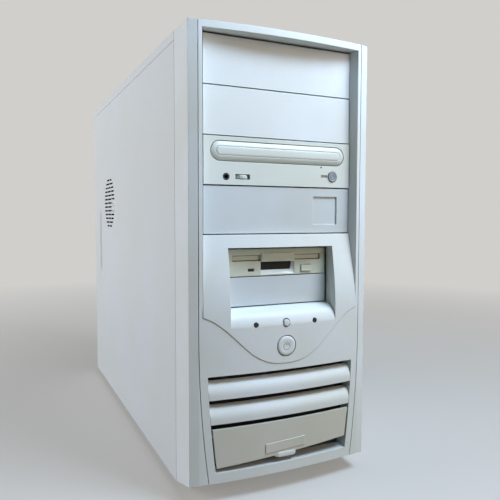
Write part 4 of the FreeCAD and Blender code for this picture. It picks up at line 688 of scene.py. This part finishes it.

# %% [markdown]
# ## Details behind the case
# The back is where the parts come from many makers, so it has more metal and colour. The screws that hold
# the power supply and the fans have domed heads with a cross recess, drawn here as plain domes. The
# thumbscrews have a knurled rim, which is drawn like the wheel's ridges, and a slot for a screwdriver,
# which is not drawn.


# %% Screws and thumbscrews
def screw(name, body, centre, radius, tall_end=1.0, ridges=0):
    """A screw head that faces the back; ridges give it a knurled rim."""
    shape = bmesh.new()
    count = 96
    profile = ((1.0, 0.0), (1.0, 0.30), (0.94, 0.5), (0.70, 0.66), (0.45, 0.7))
    if ridges:
        profile = ((0.95, 0.0), (1.0, 0.08), (1.0, 0.86), (0.93, 0.98), (0.62, 1.0), (0.58, 0.92), (0.3, 0.92))
    shell = []
    for wide, tall in profile:
        ring = []
        for k in range(count):
            turn = 2 * math.pi * k / count
            notch = 0.95 if ridges and k % (count // ridges) == 0 else 1.0
            ring.append(centre + Vector((radius * wide * notch * math.cos(turn), radius * tall * tall_end,
                                         radius * wide * notch * math.sin(turn))))
        shell.append(ring)
    loft(shape, shell)
    head = finish_mesh(name, shape, body, nickel, 25)
    return head


for side, body, node in ((-1, "left_panel", "left_panel_thumbscrews"), (1, "right_panel", "right_panel_thumbscrews")):
    low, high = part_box(node)
    radius = (high.x - low.x) / 2
    for k, height in enumerate((low.z + radius, high.z - radius)):
        centre = Vector(((low.x + high.x) / 2, low.y, height))
        screw(f"{node}_{k}", body, centre, radius, (high.y - low.y) / radius, 24)
    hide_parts(node)
plate_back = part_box("chassis_rear_panel")[1].y
fans = (("case_fan", "case_fan_frame", plate_back), ("supply_fan", "psu_fan_frame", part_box("power_supply_case")[1].y))
for label, node, back in fans:
    low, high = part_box(node)
    for sx in (-1, 1):
        for sz in (-1, 1):
            x, z = (low.x + high.x) / 2 + sx * 35.75 * MM, (low.z + high.z) / 2 + sz * 35.75 * MM
            screw(f"{label}_screw_{'l' if sx < 0 else 'r'}{'t' if sz > 0 else 'b'}", "case", Vector((x, back, z)),
                  3.0 * MM)
print("thumbscrew radius", round(radius / MM, 1), "and eight fan screws")

# %% [markdown]
# ## Coloured frames round the rear sockets
# The maker of the board colours each kind of socket, so a user can match plug and socket by eye: violet
# and green for keyboard and mouse, blue for the screen, burgundy for the printer. Each socket's metal
# shell is an island of the CAD mesh, so the script walks the islands and puts a thin frame round each.
# The frames take the listed colours in turn, in the order of the islands, not by the kind of socket.

# %% Rear sockets
shells = bmesh.new()
shells.from_mesh(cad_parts["rear_connectors"].data)
place_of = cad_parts["rear_connectors"].matrix_world
left = set(shells.verts)
islands = []
while left:
    group, todo = [], [min(left, key=lambda v: v.index)]
    left.discard(todo[0])
    while todo:
        vertex = todo.pop()
        group.append(place_of @ vertex.co)
        for edge in vertex.link_edges:
            other = edge.other_vert(vertex)
            if other in left:
                left.discard(other)
                todo.append(other)
    islands.append([(min(p[k] for p in group), max(p[k] for p in group)) for k in range(3)])
shells.free()
islands = [i for i in islands if i[2][1] - i[2][0] > 3 * MM and i[0][1] - i[0][0] > 3 * MM]
islands.sort(key=lambda i: (-round(i[2][0], 3), i[0][0]))
back = (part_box("rear_connector_shield")[1].y - RIM) / MM
for k, ((x0, x1), _, (z0, z1)) in enumerate(islands):
    colour = port_colours[list(port_colours)[k % len(port_colours)]]
    x, z = (x0 + x1) / 2 / MM, (z0 + z1) / 2 / MM
    half_x, half_z = (x1 - x0) / 2 / MM, (z1 - z0) / 2 / MM
    pierced(f"socket_frame_{k}", "case", colour, back - 0.2, 1.2,
            [(x, z, half_x + 1.3, half_z + 1.3, 0.8), (x, z, half_x + 0.1, half_z + 0.1, 0.3)], 0.2)
print(len(islands), "socket frames")

# %% [markdown]
# ## The floor and the studio
# A plain pale floor catches the shadow. One large soft lamp hangs above and in front, so the top of the
# front is brightest, and a second one stands far to the left and behind, for the long side panel. Neither
# lights the inside of the recess, which is why its right wall stays dark.

# %% Floor, lamps and surroundings
floor_mesh = bpy.data.meshes.new("floor")
floor_mesh.from_pydata([(-9, -9, 0), (9, -9, 0), (9, 9, 0), (-9, 9, 0)], [], [(0, 1, 2, 3)])
floor = bpy.data.objects.new("floor", floor_mesh)
bpy.context.scene.collection.objects.link(floor)
pale, tree, shader, place = new_finish("pale_floor")
rays = add(tree, "LightPath")
seen = add(
    tree, "Math", {0: rays.outputs["Is Camera Ray"], 1: rays.outputs["Is Glossy Ray"]}, operation="MAXIMUM"
)
# Painted light: seen directly or in reflections the floor is paler than bounce light finds it, and it also glows, a
# little near the origin and fully 1.5 m away, so it fades into the backdrop.
tone = add(tree, "Mix", {0: seen.outputs[0], 6: linear("#8F8778"), 7: linear("#D6D4CF")}, data_type="RGBA")
tree.links.new(tone.outputs[2], shader.inputs["Base Color"])
shader.inputs["Roughness"].default_value = 0.7
shader.inputs["Specular IOR Level"].default_value = 0.1
reach = add(tree, "VectorMath", {0: place}, operation="LENGTH")
far = add(tree, "MapRange", {"Value": reach.outputs["Value"], 1: 0.25, 2: 1.5, 3: 0.35, 4: 1.0})
glow_share = add(tree, "Math", {0: seen.outputs[0], 1: far.outputs[0]}, operation="MULTIPLY")
glow = add(tree, "Emission", {"Color": linear("#DAD9D6"), "Strength": 0.9})
blended = add(tree, "MixShader", {0: glow_share.outputs[0], 1: shader.outputs[0], 2: glow.outputs[0]})
tree.links.new(blended.outputs[0], tree.nodes["Material Output"].inputs["Surface"])
floor_mesh.materials.append(pale)

world = bpy.data.worlds.new("studio")
bpy.context.scene.world = world
world.use_nodes = True
tree = world.node_tree
for node in list(tree.nodes):
    tree.nodes.remove(node)
rays = add(tree, "LightPath")
seen = add(
    tree, "Math", {0: rays.outputs["Is Camera Ray"], 1: rays.outputs["Is Glossy Ray"]}, operation="MAXIMUM"
)
soft = add(tree, "Background", {"Color": linear("#C9D2DC"), "Strength": 0.03})
wall = add(tree, "Background", {"Color": linear("#DAD9D6"), "Strength": 0.9})
both = add(tree, "MixShader", {0: seen.outputs[0], 1: soft.outputs[0], 2: wall.outputs[0]})
add(tree, "OutputWorld", {"Surface": both.outputs[0]})


def lamp(name, place, target, size, power, colour):
    """A square soft box aimed at a point."""
    light = bpy.data.lights.new(name, "AREA")
    light.shape = "RECTANGLE"
    light.size, light.size_y = size
    light.energy = power
    light.color = linear(colour)[:3]
    made = bpy.data.objects.new(name, light)
    made.location = place
    made.rotation_mode = "QUATERNION"
    made.rotation_quaternion = (Vector(target) - Vector(place)).to_track_quat("-Z", "Y")
    bpy.context.scene.collection.objects.link(made)
    return made


lamp("key_above_front", (0.3, -0.55, 0.85), (0, -0.2, 0.35), (0.5, 0.3), 9.6, "#CDE6FF")
lamp("fill_right", (1.0, -1.5, 0.7), (0, -0.2, 0.2), (0.8, 0.8), 8.4, "#FFEAD6")
lamp("side_left_rear", (-1.9, 0.75, 0.75), (0, 0.05, 0.2), (1.6, 1.3), 38, "#F1F5FF")
print("floor and three lamps")
